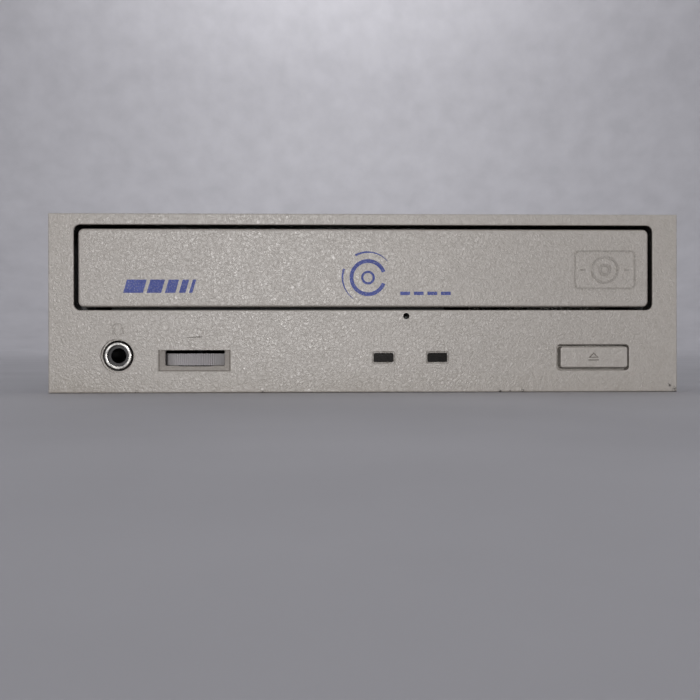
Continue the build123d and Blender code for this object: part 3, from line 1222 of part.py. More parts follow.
def chip(x, depth, width, length, leads):
    """A flat chip body with leads on its four sides."""
    y = deep(depth)
    half_x, half_y = width / 2, length / 2
    body = block(x - half_x, x + half_x, y - half_y, y + half_y, BOARD_TOP + CHIP_LIFT, BOARD_TOP + CHIP_TOP)
    out_x, out_y = half_x + LEAD_OUT, half_y + LEAD_OUT
    lead_top = BOARD_TOP + LEAD_THICK
    for step in range(leads):
        share = (step + 0.5) / leads - 0.5
        px, py = x + share * (width - 2), y + share * (length - 2)
        body += block(px - LEAD_HALF, px + LEAD_HALF, y - out_y, y + out_y, BOARD_TOP, lead_top)
        body += block(x - out_x, x + out_x, py - LEAD_HALF, py + LEAD_HALF, BOARD_TOP, lead_top)
    return body


def capacitors():
    found = []
    for x, depth in CAPACITORS:
        can = post(x, deep(depth), BOARD_TOP, CAPACITOR_TOP, CAPACITOR_R)
        found.append(chamfer(top_edges(can), 0.4))
    return Compound(found)


def front_ribbon():
    """The flat cable under the loader, from the front board to the main board."""
    left, right = RIBBON_XS
    y0, y1 = (deep(depth) for depth in RIBBON_DEPTHS)
    thick = RIBBON_THICK
    flat = block(left, right, y0, y1, RIBBON_BOTTOM, RIBBON_BOTTOM + thick)
    flat += block(left, right, y0, y0 + thick, RIBBON_BOTTOM, FRONT_BOARD_BOTTOM)
    return flat + block(left, right, y1 - thick, y1, RIBBON_BOTTOM, BOARD_BOTTOM)


def socket(x, width, height, wall, mouth):
    """An open-ended shroud facing the back."""
    y1 = BACK_WALL_OUT
    top = BOARD_TOP + height
    half = width / 2
    body = block(x - half, x + half, y1 - SOCKET_LENGTH, y1, BOARD_TOP, top)
    inner = half - wall
    return body - block(x - inner, x + inner, y1 - mouth, y1 + OVERSHOOT, BOARD_TOP + wall, top - wall)


def jumper_block():
    x, width, height = JUMPER
    y0, y1 = BACK_WALL_OUT - JUMPER_DEPTHS[1], BACK_WALL_OUT - JUMPER_DEPTHS[0]
    return block(x - width / 2, x + width / 2, y0, y1, BOARD_TOP, BOARD_TOP + height)


def jumper_cap():
    """A small shunt over the middle pair of pins."""
    x, z = JUMPER[0], BOARD_TOP + JUMPER[2] / 2
    y1 = BACK_WALL_OUT - CAP_SET_BACK
    half_x, half_z = CAP_HALF
    hollow_x, hollow_z = CAP_HOLLOW
    cap = block(x - half_x, x + half_x, y1 - CAP_LENGTH, y1, z - half_z, z + half_z)
    y0 = y1 - CAP_LENGTH - OVERSHOOT
    return cap - block(x - hollow_x, x + hollow_x, y0, y1 - 0.6, z - hollow_z, z + hollow_z)


def pin_rows(x, height, back, columns, rows=1, pitch=PIN_PITCH, half=PIN_HALF):
    """Square pins along Y, from the back of a socket's mouth to just inside it."""
    y0, y1 = BACK_WALL_OUT - back, BACK_WALL_OUT - PIN_SET_BACK
    middle_z = BOARD_TOP + height / 2
    found = []
    for column in range(columns):
        px = x + (column - (columns - 1) / 2) * pitch
        for row in range(rows):
            pz = middle_z + (row - (rows - 1) / 2) * PIN_PITCH
            found.append(block(px - half, px + half, y0, y1, pz - half, pz + half))
    return found


def connector_pins():
    pins = pin_rows(POWER[0], POWER[2], POWER[4], 4, 1, POWER_PIN_PITCH, POWER_PIN_HALF)
    pins += pin_rows(DATA[0], DATA[2], DATA[4], 20, 2)
    pins += pin_rows(AUDIO[0], AUDIO[2], AUDIO[4], 4)
    pins += pin_rows(DIGITAL[0], DIGITAL[2], DIGITAL[4], 2)
    for side in (-1, 1):
        pins += pin_rows(JUMPER[0] + side * PIN_PITCH, JUMPER[2], JUMPER_DEPTHS[0], 1, 2)
    return Compound(pins)


# ---- every node and its shape
def front_parts():
    return {
        "front_bezel": front_bezel(),
        "tray_front": tray_front(),
        "eject_button": eject_button(),
        "busy_lens": led_lens(LED_XS[0]),
        "record_lens": led_lens(LED_XS[1]),
        "front_board": front_board(),
        "jack_housing": jack_housing(),
        "jack_sleeve": jack_sleeve(),
        "volume_wheel": volume_wheel(),
        "volume_pot": volume_pot(),
        "eject_switch": eject_switch(),
        "switch_plunger": switch_plunger(),
        "indicator_leds": indicator_leds(),
    }


def case_parts():
    return {
        "top_cover": top_cover(),
        "bottom_cover": bottom_cover(),
        "chassis_screws": chassis_screws(),
        "back_screws": back_screws(),
        "top_label": top_label(),
    }


def loader_parts():
    return {
        "loader_chassis": loader_chassis(),
        "tray": tray(),
        "clamp_bridge": clamp_bridge(),
        "clamper": clamper(),
        "clamper_magnet": clamper_magnet(),
        "tray_gear": tray_gear(),
        "pulley_gear": pulley_gear(),
        "motor_pulley": motor_pulley(),
        "motor_shaft": motor_shaft(),
        "loading_motor": loading_motor(),
        "drive_belt": drive_belt(),
        "cam_slider": cam_slider(),
    }


def traverse_parts():
    return {
        "lift_frame": lift_frame(),
        "traverse_base": traverse_base(),
        "dampers": dampers(),
        "damper_screws": damper_screws(),
        "spindle_motor": spindle_motor(),
        "spindle_shaft": spindle_shaft(),
        "turntable": turntable(),
        "turntable_pad": turntable_pad(),
        "main_rail": rail(-RAIL_X),
        "sub_rail": rail(RAIL_X),
        "pickup_body": pickup_body(),
        "lens_holder": lens_holder(),
        "objective_lens": objective_lens(),
        "sled_follower": sled_follower(),
        "feed_motor": feed_motor(),
        "lead_screw": lead_screw(),
    }


def board_parts():
    return {
        "main_board": main_board(),
        "controller_chip": chip(-8, 100, 28, 28, 22),
        "driver_chip": chip(26, 104, 14, 20, 12),
        "memory_chip": chip(-38, 108, 10, 18, 10),
        "capacitors": capacitors(),
        "power_connector": socket(*POWER),
        "data_connector": socket(*DATA),
        "audio_connector": socket(*AUDIO),
        "digital_connector": socket(*DIGITAL),
        "jumper_block": jumper_block(),
        "jumper_cap": jumper_cap(),
        "connector_pins": connector_pins(),
        "front_ribbon": front_ribbon(),
    }


os.makedirs("parts", exist_ok=True)
nodes = front_parts() | case_parts() | loader_parts() | traverse_parts() | board_parts()
for node, shape in nodes.items():
    export_step(shape, f"parts/{node}.step")
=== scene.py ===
import json
from math import cos, pi, radians, sin

import bmesh
import bpy
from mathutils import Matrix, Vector


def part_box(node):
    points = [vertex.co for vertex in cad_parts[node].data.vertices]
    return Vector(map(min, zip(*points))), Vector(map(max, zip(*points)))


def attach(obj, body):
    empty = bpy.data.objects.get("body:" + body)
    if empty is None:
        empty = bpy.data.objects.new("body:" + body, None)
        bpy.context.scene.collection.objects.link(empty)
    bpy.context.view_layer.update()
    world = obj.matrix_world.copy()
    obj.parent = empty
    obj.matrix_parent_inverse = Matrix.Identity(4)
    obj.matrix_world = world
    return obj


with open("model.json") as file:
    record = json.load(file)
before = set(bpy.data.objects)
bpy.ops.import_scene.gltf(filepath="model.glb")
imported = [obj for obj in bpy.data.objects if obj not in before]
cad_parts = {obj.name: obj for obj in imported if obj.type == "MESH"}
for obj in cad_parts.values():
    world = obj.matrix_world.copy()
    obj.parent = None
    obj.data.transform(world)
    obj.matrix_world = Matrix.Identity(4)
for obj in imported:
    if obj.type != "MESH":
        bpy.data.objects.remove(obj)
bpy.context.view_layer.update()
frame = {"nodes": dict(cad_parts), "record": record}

MM = 0.001
NODES = frame["nodes"]
TRAY_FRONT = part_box("tray_front")
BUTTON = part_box("eject_button")
BOARD_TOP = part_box("main_board")[1][2]
LABEL_LOW, LABEL_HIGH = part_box("top_label")
FACE_Y = BUTTON[0][1]


# ---- node tree helpers
class Tree:
    """A material's node tree, with short calls for the nodes that the finishes use."""

    def __init__(self, name):
        self.material = bpy.data.materials.new(name)
        self.material.use_nodes = True
        self.tree = self.material.node_tree
        self.shader = self.tree.nodes["Principled BSDF"]
        coords = self.tree.nodes.new("ShaderNodeTexCoord")
        self.place = coords.outputs["Object"]

    def node(self, kind, links=None, **settings):
        made = self.tree.nodes.new(kind)
        for key, value in settings.items():
            setattr(made, key, value)
        for key, value in (links or {}).items():
            if isinstance(value, bpy.types.NodeSocket):
                self.tree.links.new(value, made.inputs[key])
            else:
                made.inputs[key].default_value = value
        return made

    def stretched(self, scale):
        links = {"Vector": self.place, "Scale": scale}
        return self.node("ShaderNodeMapping", links).outputs["Vector"]

    def noise(self, size_mm, detail=3.0, roughness=0.5, distortion=0.0, stretch=None):
        """Noise whose features are about this many millimetres across."""
        vector = self.stretched(stretch) if stretch else self.place
        links = {"Vector": vector, "Scale": 1 / (size_mm * MM), "Detail": detail}
        links |= {"Roughness": roughness, "Distortion": distortion}
        return self.node("ShaderNodeTexNoise", links).outputs["Fac"]

    def cells(self, size_mm, metric="EUCLIDEAN", smooth=None):
        """Distance to the nearest of points scattered about this many millimetres apart."""
        links = {"Vector": self.place, "Scale": 1 / (size_mm * MM)}
        feature = "F1"
        if smooth is not None:
            feature = "SMOOTH_F1"
            links["Smoothness"] = smooth
        made = self.node("ShaderNodeTexVoronoi", links, feature=feature, distance=metric)
        return made.outputs["Distance"]

    def remap(self, value, low, high, to_low=0.0, to_high=1.0):
        links = {0: value, 1: low, 2: high, 3: to_low, 4: to_high}
        return self.node("ShaderNodeMapRange", links).outputs[0]

    def math(self, operation, a, b=0.0):
        return self.node("ShaderNodeMath", {0: a, 1: b}, operation=operation).outputs[0]

    def mix(self, share, a, b):
        """Colour a where the share is 0 and colour b where it is 1."""
        return self.node("ShaderNodeMix", {0: share, 6: a, 7: b}, data_type="RGBA").outputs[2]

    def axis(self, letter):
        split = self.node("ShaderNodeSeparateXYZ", {0: self.place})
        return split.outputs["XYZ".index(letter)]

    def near(self, point, inner_mm, outer_mm):
        """1 within the inner distance of a point and 0 past the outer one."""
        away = self.node("ShaderNodeVectorMath", {0: self.place, 1: point}, operation="DISTANCE")
        return self.remap(away.outputs["Value"], inner_mm * MM, outer_mm * MM, 1.0, 0.0)

    def bump(self, height, depth_mm, strength=1.0):
        links = {"Height": height, "Strength": strength, "Distance": depth_mm * MM}
        return self.node("ShaderNodeBump", links).outputs["Normal"]

    def finish(self, colour=None, roughness=None, normal=None, **constants):
        for socket, value in (("Base Color", colour), ("Roughness", roughness), ("Normal", normal)):
            if isinstance(value, bpy.types.NodeSocket):
                self.tree.links.new(value, self.shader.inputs[socket])
            elif value is not None:
                self.shader.inputs[socket].default_value = value
        for key, value in constants.items():
            self.shader.inputs[key.replace("_", " ")].default_value = value
        return self.material


def linear(red, green, blue):
    """An 8 bit screen colour as a linear one."""
    def channel(value):
        value /= 255
        return value / 12.92 if value <= 0.04045 else ((value + 0.055) / 1.055) ** 2.4
    return (channel(red), channel(green), channel(blue), 1.0)


def scaled(colour, share):
    return tuple(channel * share for channel in colour[:3]) + (1.0,)


# ---- finishes
BEZEL_COLOUR = linear(190, 184, 176)
# x, z and size, in millimetres, of the dark scuffs along the bezel's bottom edge
NICKS = (
    (73.6, 0.5, 1.0),
    (72.2, 1.6, 0.6),
    (37.2, 0.2, 0.7),
    (34.0, 0.3, 0.5),
    (31.8, 0.2, 0.5),
    (-24.0, 0.1, 0.5),
    (-53.5, 0.1, 0.6),
)


def leather_grain(tree, depth_mm=0.038):
    """The moulded grain of the bezel: wandering ridges with fine pits; its normal and its pattern."""
    wander = tree.noise(0.8, 3.0, 0.5, 0.7)
    from_ridge = tree.math("ABSOLUTE", tree.math("SUBTRACT", wander, 0.5))
    ridges = tree.remap(from_ridge, 0.0, 0.16)
    pits = tree.cells(0.6, smooth=0.6)
    height = tree.math("ADD", ridges, tree.math("MULTIPLY", pits, 0.8))
    return tree.bump(height, depth_mm, 1.0), wander


def depth_ramp(tree, start_mm, end_mm, to_low, to_high):
    """A value that changes between two depths behind the bezel's face."""
    return tree.remap(tree.axis("Y"), FACE_Y + start_mm * MM, FACE_Y + end_mm * MM, to_low, to_high)


def opening_shade(tree, box, from_mm, to_mm):
    """Painted shade mask: high on the opening's walls, which lie between two distances from the box that
    fills it.
    """
    low, high = box
    beyond = []
    for letter, axis in (("X", 0), ("Z", 2)):
        middle = (low[axis] + high[axis]) / 2
        half = (high[axis] - low[axis]) / 2
        away = tree.math("ABSOLUTE", tree.math("SUBTRACT", tree.axis(letter), middle))
        beyond.append(tree.math("SUBTRACT", away, half))
    gap = tree.math("MAXIMUM", *beyond)
    outside = tree.remap(gap, from_mm * MM, (from_mm + 0.06) * MM)
    close = tree.remap(gap, to_mm * MM, (to_mm + 0.2) * MM, 1.0, 0.0)
    deep = depth_ramp(tree, 0.15, 0.5, 0.0, 0.95)
    return tree.math("MULTIPLY", deep, tree.math("MULTIPLY", outside, close))


def relief_shade(tree):
    """High on the raised signs and on the floors of the cut ones, which show a little darker."""
    raised = depth_ramp(tree, -0.12, -0.08, 0.3, 0.0)
    sunk = depth_ramp(tree, 0.1, 0.2, 0.0, 0.6)
    shallow = depth_ramp(tree, 0.28, 0.36, 1.0, 0.15)
    return tree.math("MAXIMUM", raised, tree.math("MULTIPLY", sunk, shallow))


def bezel_plastic():
    """Grained light grey plastic with grime low down, specks, scuffs and painted shade on the walls of its
    openings.
    """
    tree = Tree("bezel_grain")
    normal, wander = leather_grain(tree)
    cloud = tree.noise(28, 3.0, 0.6)
    colour = tree.mix(tree.remap(cloud, 0.3, 0.7), scaled(BEZEL_COLOUR, 0.955), BEZEL_COLOUR)
    valley = tree.remap(wander, 0.47, 0.53, 0.0, 0.10)
    colour = tree.mix(valley, colour, linear(120, 112, 98))
    low_down = tree.remap(tree.axis("Z"), 0.0, 6 * MM, 1.0, 0.0)
    patchy = tree.remap(cloud, 0.4, 0.75, 0.05, 0.35)
    colour = tree.mix(tree.math("MULTIPLY", low_down, patchy), colour, linear(140, 130, 112))
    specks = tree.remap(tree.cells(7.0), 0.0, 0.022, 1.0, 0.0)
    colour = tree.mix(tree.math("MULTIPLY", specks, 0.6), colour, linear(92, 82, 68))
    for x, z, size in NICKS:
        chip = tree.near((x * MM, FACE_Y, z * MM), size * 0.4, size)
        broken = tree.remap(tree.noise(0.5, 2.0), 0.4, 0.6)
        colour = tree.mix(tree.math("MULTIPLY", chip, broken), colour, linear(52, 48, 42))
    colour = tree.mix(relief_shade(tree), colour, linear(84, 74, 62))
    # painted shade: the deep walls of the tray opening and of the button hole are darkened to near black,
    # as if they lay in shade
    dust_and_gap_shade = linear(24, 20, 17)
    colour = tree.mix(opening_shade(tree, TRAY_FRONT, 0.03, 2.0), colour, dust_and_gap_shade)
    colour = tree.mix(opening_shade(tree, BUTTON, -0.08, 0.8), colour, dust_and_gap_shade)
    rough = tree.remap(tree.noise(3.0, 4.0), 0.3, 0.7, 0.30, 0.38)
    return tree.finish(colour, rough, normal, Specular_IOR_Level=0.8)


def printed_ink():
    """Blue screen print with fine worn specks, over the same grain."""
    tree = Tree("blue_print")
    normal, _ = leather_grain(tree)
    worn = tree.remap(tree.noise(0.33, 3.0), 0.54, 0.66, 0.0, 0.75)
    tone = tree.mix(tree.remap(tree.noise(4.0), 0.3, 0.7), linear(58, 72, 150), linear(78, 92, 168))
    colour = tree.mix(worn, tone, linear(142, 146, 172))
    return tree.finish(colour, 0.5, normal)


def plain_plastic(name, colour, rough=0.45, grain_mm=0.5, depth_mm=0.01, mottle=0.12, **constants):
    """Moulded plastic with a fine texture, faint flow marks and rubbed patches."""
    tree = Tree(name)
    flow = tree.noise(14, 3.0, 0.6, 0.6, stretch=(1.0, 0.35, 1.0))
    dark, light = scaled(colour, 1 - mottle), scaled(colour, 1 + mottle / 3)
    tone = tree.mix(tree.remap(flow, 0.3, 0.7), dark, light)
    scratches = tree.noise(0.6, 4.0, 0.6, 0.0, stretch=(1.0, 0.12, 1.0))
    tone = tree.mix(tree.remap(scratches, 0.62, 0.75, 0.0, 0.22), tone, scaled(colour, 1.5))
    roughness = tree.remap(tree.noise(5.0, 4.0), 0.3, 0.7, rough - 0.07, rough + 0.07)
    normal = tree.bump(tree.noise(grain_mm, 3.0), depth_mm, 0.6)
    return tree.finish(tone, roughness, normal, **constants)


def sheet_metal(name, colour, rough=0.36, spangle=True, streak=(0.06, 1.0, 1.0)):
    """Zinc plated sheet: faint crystals, rolling streaks, smudges and dull spots."""
    tree = Tree(name)
    cloud = tree.noise(35, 3.0, 0.6)
    tone = tree.mix(tree.remap(cloud, 0.3, 0.7), scaled(colour, 0.9), colour)
    if spangle:
        crystals = tree.node("ShaderNodeTexVoronoi", {"Vector": tree.place, "Scale": 1 / (6 * MM)})
        shade = tree.node("ShaderNodeRGBToBW", {0: crystals.outputs["Color"]}).outputs[0]
        tone = tree.mix(tree.remap(shade, 0.2, 0.8, 0.0, 0.18), tone, scaled(colour, 0.72))
    marks = tree.remap(tree.cells(9.0), 0.0, 0.03, 1.0, 0.0)
    tone = tree.mix(tree.math("MULTIPLY", marks, 0.5), tone, scaled(colour, 0.45))
    streaks = tree.noise(0.35, 4.0, 0.6, 0.0, stretch=streak)
    smudge = tree.noise(18, 4.0, 0.65, 0.8)
    handled = tree.math("ADD", tree.math("MULTIPLY", streaks, 0.5), smudge)
    roughness = tree.remap(handled, 0.5, 1.0, rough - 0.09, rough + 0.13)
    normal = tree.bump(streaks, 0.004, 0.5)
    return tree.finish(tone, roughness, normal, Metallic=1.0)


def turned_metal(name, colour, rough=0.22):
    """Plated or turned metal with fine rings and stains."""
    tree = Tree(name)
    stain = tree.noise(2.5, 4.0, 0.6)
    tone = tree.mix(tree.remap(stain, 0.45, 0.75), colour, scaled(colour, 0.62))
    roughness = tree.remap(tree.noise(0.8, 3.0), 0.3, 0.7, rough - 0.07, rough + 0.12)
    normal = tree.bump(tree.noise(0.12, 2.0, 0.5, 0.0, stretch=(1.0, 0.2, 1.0)), 0.003, 0.5)
    return tree.finish(tone, roughness, normal, Metallic=1.0)


def cast_metal():
    """Die cast metal with a pebbled skin."""
    tree = Tree("cast_aluminium")
    tone = tree.mix(tree.remap(tree.noise(3.0, 4.0), 0.3, 0.7), (0.42, 0.42, 0.43, 1), (0.6, 0.6, 0.61, 1))
    roughness = tree.remap(tree.noise(1.2, 4.0), 0.3, 0.7, 0.38, 0.58)
    return tree.finish(tone, roughness, tree.bump(tree.noise(0.3, 4.0), 0.02, 0.7), Metallic=1.0)


def circuit_board():
    """Green solder mask over copper tracks, with small bare pads."""
    tree = Tree("solder_mask")
    dark, light = (0.006, 0.055, 0.022, 1), (0.014, 0.12, 0.045, 1)
    tracks = tree.cells(3.4, metric="CHEBYCHEV")
    lines = tree.math("PINGPONG", tree.math("MULTIPLY", tracks, 9.0), 0.5)
    copper = tree.remap(lines, 0.22, 0.28)
    colour = tree.mix(copper, dark, light)
    pads = tree.remap(tree.cells(2.1), 0.1, 0.13, 1.0, 0.0)
    colour = tree.mix(pads, colour, (0.55, 0.52, 0.45, 1))
    normal = tree.bump(copper, 0.03, 0.6)
    metallic = tree.math("MULTIPLY", pads, 0.9)
    tree.tree.links.new(metallic, tree.shader.inputs["Metallic"])
    return tree.finish(colour, tree.remap(tree.noise(2.0), 0.3, 0.7, 0.28, 0.42), normal)


def chip_package():
    """Black moulded package above tinned leads."""
    tree = Tree("chip_package")
    lead = tree.remap(tree.axis("Z"), BOARD_TOP + 0.32 * MM, BOARD_TOP + 0.36 * MM, 1.0, 0.0)
    tree.tree.links.new(lead, tree.shader.inputs["Metallic"])
    cloud = tree.remap(tree.noise(2.0, 4.0), 0.3, 0.7)
    black = tree.mix(cloud, (0.012, 0.012, 0.013, 1), (0.03, 0.03, 0.032, 1))
    colour = tree.mix(lead, black, (0.6, 0.6, 0.58, 1))
    roughness = tree.remap(tree.noise(1.0), 0.3, 0.7, 0.4, 0.6)
    return tree.finish(colour, roughness, tree.bump(tree.noise(0.2), 0.01, 0.6))


def label_stock():
    """A blank printed label: a plain frame and ruled rows on blotched paper."""
    tree = Tree("label_stock")
    blotch = tree.remap(tree.noise(12, 4.0), 0.3, 0.7)
    paper = tree.mix(blotch, linear(214, 210, 200), linear(228, 225, 217))
    margin, row_pitch = 4 * MM, 4.5 * MM
    middle_y = (LABEL_LOW[1] + LABEL_HIGH[1]) / 2
    half_x, half_y = LABEL_HIGH[0], (LABEL_HIGH[1] - LABEL_LOW[1]) / 2
    from_middle = tree.math("SUBTRACT", tree.axis("Y"), middle_y)
    across = tree.math("SUBTRACT", tree.math("ABSOLUTE", tree.axis("X")), half_x - margin)
    along = tree.math("SUBTRACT", tree.math("ABSOLUTE", from_middle), half_y - margin)
    past_frame = tree.math("MAXIMUM", across, along)
    frame_line = tree.remap(tree.math("ABSOLUTE", past_frame), 0.2 * MM, 0.3 * MM, 1.0, 0.0)
    inside = tree.math("LESS_THAN", past_frame, -6 * MM)
    rows = tree.math("PINGPONG", from_middle, row_pitch)
    rule = tree.math("MULTIPLY", tree.remap(rows, 0.14 * MM, 0.2 * MM, 1.0, 0.0), inside)
    ink = tree.math("MAXIMUM", frame_line, rule)
    colour = tree.mix(tree.math("MULTIPLY", ink, 0.8), paper, linear(60, 62, 66))
    return tree.finish(colour, 0.42, tree.bump(tree.noise(0.4, 3.0), 0.006, 0.6))


def smoky_lens():
    """Dark tinted plastic over the lamps."""
    tree = Tree("smoky_lens")
    tone = tree.mix(tree.remap(tree.noise(0.9, 3.0), 0.3, 0.7), linear(16, 14, 12), linear(30, 27, 24))
    roughness = tree.remap(tree.noise(0.6), 0.3, 0.7, 0.3, 0.42)
    normal = tree.bump(tree.noise(0.35, 2.0), 0.004, 0.5)
    return tree.finish(tone, roughness, normal, Specular_IOR_Level=0.1)


def rubber(name):
    """Black rubber with dust caught on it."""
    tree = Tree(name)
    dust_and_gap_shade = tree.remap(tree.noise(1.5, 5.0, 0.65), 0.5, 0.75, 0.0, 0.3)
    tone = tree.mix(dust_and_gap_shade, (0.018, 0.018, 0.018, 1), (0.09, 0.085, 0.08, 1))
    roughness = tree.remap(dust_and_gap_shade, 0.0, 0.3, 0.62, 0.85)
    return tree.finish(tone, roughness, tree.bump(tree.noise(0.25, 3.0), 0.01, 0.6))


def coated_lens():
    """Clear plastic with a violet coating."""
    tree = Tree("coated_lens")
    tint = tree.mix(tree.remap(tree.noise(2.0), 0.3, 0.7), (0.35, 0.42, 0.75, 1), (0.55, 0.45, 0.8, 1))
    normal = tree.bump(tree.noise(1.0), 0.001, 0.3)
    return tree.finish(tint, 0.05, normal, Transmission_Weight=0.7, Coat_Weight=0.6)


def ribbon_film():
    """Flat cable: parallel conductors under a clear film."""
    tree = Tree("ribbon_film")
    lanes = tree.math("PINGPONG", tree.axis("X"), 0.5 * MM)
    copper = tree.remap(lanes, 0.2 * MM, 0.26 * MM)
    colour = tree.mix(copper, (0.66, 0.64, 0.56, 1), (0.36, 0.34, 0.3, 1))
    return tree.finish(colour, 0.35, tree.bump(copper, 0.02, 0.6))


def finishes():
    """One finish for each of the record's material slots."""
    grey = (0.045, 0.045, 0.047, 1)
    return {
        "bezel_plastic": bezel_plastic(),
        "smoke_lens": smoky_lens(),
        "circuit_board": circuit_board(),
        "black_plastic": plain_plastic("black_nylon", (0.014, 0.014, 0.015, 1), 0.42),
        "white_plastic": plain_plastic("white_nylon", (0.66, 0.63, 0.56, 1), 0.4),
        "blue_plastic": plain_plastic("blue_nylon", (0.02, 0.05, 0.3, 1), 0.35),
        "led_epoxy": plain_plastic("led_epoxy", (0.4, 0.26, 0.06, 1), 0.2, Transmission_Weight=0.3),
        "plated_metal": turned_metal("plated_steel", (0.62, 0.61, 0.58, 1)),
        "wheel_plastic": plain_plastic("wheel_plastic", linear(176, 173, 174), 0.5, 0.3, 0.012),
        "sheet_steel": sheet_metal("zinc_sheet", (0.62, 0.63, 0.64, 1)),
        "label_paper": label_stock(),
        "chassis_plastic": plain_plastic("chassis_plastic", (0.02, 0.02, 0.021, 1), 0.5, 0.6, 0.02),
        "magnet_iron": turned_metal("magnet_iron", (0.2, 0.2, 0.21, 1), 0.4),
        "tray_plastic": plain_plastic("tray_plastic", grey, 0.5, 0.4, 0.02),
        "gear_plastic": plain_plastic("acetal", (0.68, 0.66, 0.6, 1), 0.38),
        "motor_steel": sheet_metal("motor_can", (0.45, 0.45, 0.45, 1), 0.3, False, (1.0, 1.0, 0.05)),
        "belt_rubber": rubber("belt_rubber"),
        "damper_rubber": rubber("damper_rubber"),
        "cast_aluminium": cast_metal(),
        "lens_glass": coated_lens(),
        "chip_epoxy": chip_package(),
        "capacitor_sleeve": plain_plastic("capacitor_sleeve", (0.015, 0.018, 0.06, 1), 0.25),
        "gold_pins": turned_metal("gold_pins", (0.75, 0.55, 0.22, 1), 0.25),
        "ribbon_film": ribbon_film(),
    }


def dress_nodes(made):
    """Gives every CAD node the finish of its slot."""
    for entry in frame["record"]["subparts"]:
        node = NODES[entry["node"]]
        node.data.materials.clear()
        node.data.materials.append(made[entry["material_slot"]])


# ---- meshes
def prism(mesh, first, second):
    """A closed solid between two matching loops of vertices."""
    mesh.faces.new(first)
    mesh.faces.new(list(reversed(second)))
    for here in range(len(first)):
        there = (here + 1) % len(first)
        mesh.faces.new([first[there], first[here], second[here], second[there]])


def add_piece(name, mesh, material):
    """The finished mesh as an object in the scene."""
    bmesh.ops.recalc_face_normals(mesh, faces=mesh.faces)
    data = bpy.data.meshes.new(name)
    mesh.to_mesh(data)
    mesh.free()
    data.materials.append(material)
    piece = bpy.data.objects.new(name, data)
    bpy.context.collection.objects.link(piece)
    return piece


# ---- printed marks on the tray front
PRINT_THICK = 0.02 * MM


def outline_piece(name, outlines, material):
    """A thin print: each outline is a list of (x, z) in millimetres, facing the front."""
    mesh = bmesh.new()
    for outline in outlines:
        front = [mesh.verts.new((x * MM, FACE_Y - PRINT_THICK, z * MM)) for x, z in outline]
        back = [mesh.verts.new((x * MM, FACE_Y + PRINT_THICK, z * MM)) for x, z in outline]
        prism(mesh, front, back)
    piece = add_piece(name, mesh, material)
    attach(piece, "tray_unit")
    return piece


def arc_band(centre, radius, start_deg, end_deg, thick_start, thick_end, steps=36):
    """A curved stroke whose thickness changes evenly from one end to the other, in short quads."""
    x, z = centre
    quads = []
    for step in range(steps):
        pair = []
        for share in (step / steps, (step + 1) / steps):
            angle = radians(start_deg + (end_deg - start_deg) * share)
            half = (thick_start + (thick_end - thick_start) * share) / 2
            for r in (radius - half, radius + half):
                pair.append((x + r * cos(angle), z + r * sin(angle)))
        quads.append([pair[0], pair[1], pair[3], pair[2]])
    return quads


def maker_strip(ink):
    """Left print: five slanting bars, each narrower than the last."""
    left, low, high = -56.6, 23.4, 26.5
    slant, gap = 0.9, 0.85
    bars = []
    for width in (4.6, 3.4, 2.4, 1.5, 0.8):
        right = left + width
        bars.append([(left, low), (right, low), (right + slant, high), (left + slant, high)])
        left = right + gap
    return outline_piece("printed_bars", bars, ink)


def disc_sign(ink):
    """Middle print: a disc seen straight on, its hub, two swept arcs and a row of short dashes."""
    centre = (0.6, 27.0)
    disc_r, hub_r, sweep_r = 3.9, 1.35, 6.0
    thin, thick = 0.12, 0.5
    strokes = arc_band(centre, disc_r, 20, 340, 0.9, 0.9)
    strokes += arc_band(centre, hub_r, 0, 360, 0.55, 0.55)
    strokes += arc_band(centre, sweep_r, 40, 120, thin, thick)
    strokes += arc_band(centre, sweep_r, 160, 235, thick, thin)
    first, pitch, width, low, high = 8.2, 3.2, 2.3, 22.9, 23.7
    for dash in range(4):
        left = first + dash * pitch
        strokes.append([(left, low), (left + width, low), (left + width, high), (left, high)])
    return outline_piece("printed_disc", strokes, ink)


# ---- dust strip behind the tray front
def dust_strip(material):
    """A strip of foam on the gear deck, just behind the tray front, rounded along its top."""
    left, right, thick, round_steps = -60 * MM, 19 * MM, 1.6 * MM, 8
    front = TRAY_FRONT[1][1] + 0.8 * MM
    foot = 18.35 * MM
    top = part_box("tray")[0][2] - 0.5 * MM
    radius = thick / 2
    outline = [(front, foot), (front + thick, foot)]
    for step in range(round_steps + 1):
        angle = pi * step / round_steps
        outline.append((front + radius + radius * cos(angle), top - radius + radius * sin(angle)))
    mesh = bmesh.new()
    ends = [[mesh.verts.new((x, y, z)) for y, z in outline] for x in (left, right)]
    prism(mesh, *ends)
    piece = add_piece("dust_strip", mesh, material)
    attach(piece, "case")


# ---- stage, light and camera
def lathe(name, profile, material, steps=96):
    """A surface of revolution about Z from (radius, height) points, closed in the middle."""
    mesh = bmesh.new()
    angles = [2 * pi * step / steps for step in range(steps)]
    rings = [[mesh.verts.new((r * cos(a), r * sin(a), height)) for a in angles] for r, height in profile]
    mesh.faces.new(rings[0])
    for low, high in zip(rings, rings[1:]):
        for here in range(steps):
            there = (here + 1) % steps
            mesh.faces.new([low[here], low[there], high[there], high[here]])
    made = add_piece(name, mesh, material)
    for face in made.data.polygons:
        face.use_smooth = True
    return made


def stage_floor():
    """A pale floor that curves up into a wall all round, far from the drive."""
    tree = Tree("floor_paint")
    cloud = tree.remap(tree.noise(60, 4.0), 0.3, 0.7)
    tone = tree.mix(cloud, linear(177, 176, 180), linear(187, 186, 190))
    paint = tree.finish(tone, 0.6, tree.bump(tree.noise(2.5, 3.0), 0.05, 0.2))
    middle, flat, bend, wall_top = 0.4, 1.6, 0.9, 3.0
    profile = [(middle, 0.0), (flat, 0.0)]
    for degrees in range(10, 91, 10):
        angle = radians(degrees)
        profile.append((flat + bend * sin(angle), bend - bend * cos(angle)))
    profile.append((flat + bend, wall_top))
    floor = lathe("floor", profile, paint)
    floor.location.z = -0.05 * MM


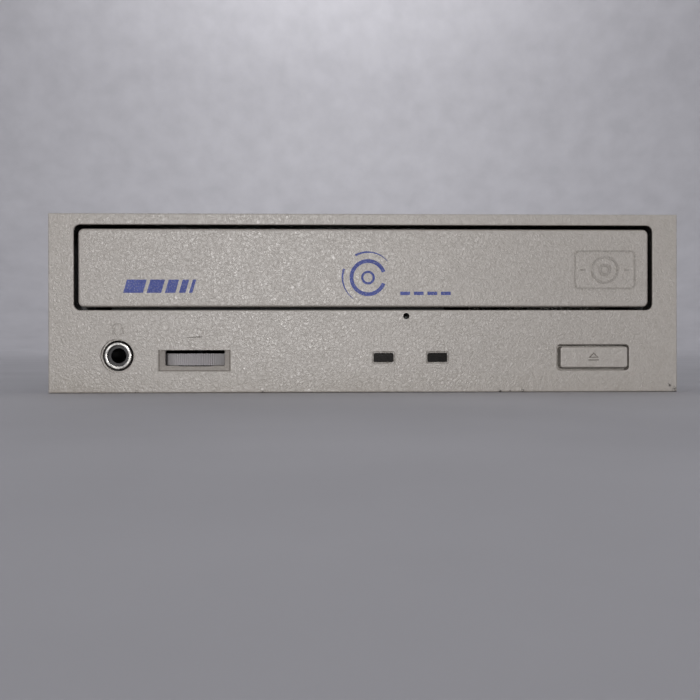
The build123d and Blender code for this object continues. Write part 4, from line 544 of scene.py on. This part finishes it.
def area_light(name, place, aim, size, watts, colour):
    data = bpy.data.lights.new(name, "AREA")
    data.shape = "RECTANGLE"
    data.size, data.size_y = size
    data.energy = watts
    data.color = colour
    lamp = bpy.data.objects.new(name, data)
    bpy.context.collection.objects.link(lamp)
    lamp.location = place
    lamp.rotation_euler = (Vector(aim) - Vector(place)).to_track_quat("-Z", "Y").to_euler()


def lights():
    """A small key light in front, which the grain glints in, a soft ceiling, and washes on the wall."""
    key_place = (-0.087, FACE_Y - 0.95, 0.125)
    area_light("key", key_place, (0, FACE_Y, 0.02), (0.09, 0.07), 3.0, (1.0, 0.985, 0.965))
    area_light("ceiling", (0.0, 0.1, 1.5), (0, 0, 0), (1.4, 1.4), 5.0, (0.97, 0.985, 1.0))
    lamp_r, lamp_height = 1.45, 1.75
    wall_r, wall_height = 2.4, 1.0
    for turn in range(4):
        angle = radians(90 * turn + 90)
        place = (lamp_r * cos(angle), lamp_r * sin(angle), lamp_height)
        aim = (wall_r * cos(angle), wall_r * sin(angle), wall_height)
        area_light(f"wash_{turn}", place, aim, (0.4, 0.4), 15.0, (0.98, 0.98, 1.0))
    world = bpy.data.worlds.new("room")
    bpy.context.scene.world = world
    world.use_nodes = True
    background = world.node_tree.nodes["Background"]
    background.inputs["Color"].default_value = (0.62, 0.63, 0.66, 1.0)
    background.inputs["Strength"].default_value = 0.3


def camera():
    """Close in front of the bezel, a little left of its middle and just above its bottom edge."""
    data = bpy.data.cameras.new("camera")
    data.lens = 43.0
    data.sensor_width = 36.0
    data.clip_start = 0.01
    seen = bpy.data.objects.new("camera", data)
    bpy.context.collection.objects.link(seen)
    seen.location = (-8.6 * MM, FACE_Y - 196.4 * MM, 10.5 * MM)
    seen.rotation_euler = (radians(90 - 0.15), radians(0.08), radians(-1.44))
    bpy.context.scene.camera = seen


bpy.context.scene.view_settings.view_transform = "Standard"
made = finishes()
dress_nodes(made)
ink = printed_ink()
maker_strip(ink)
disc_sign(ink)
dust_strip(made["damper_rubber"])
stage_floor()
lights()
camera()

bpy.context.view_layer.update()
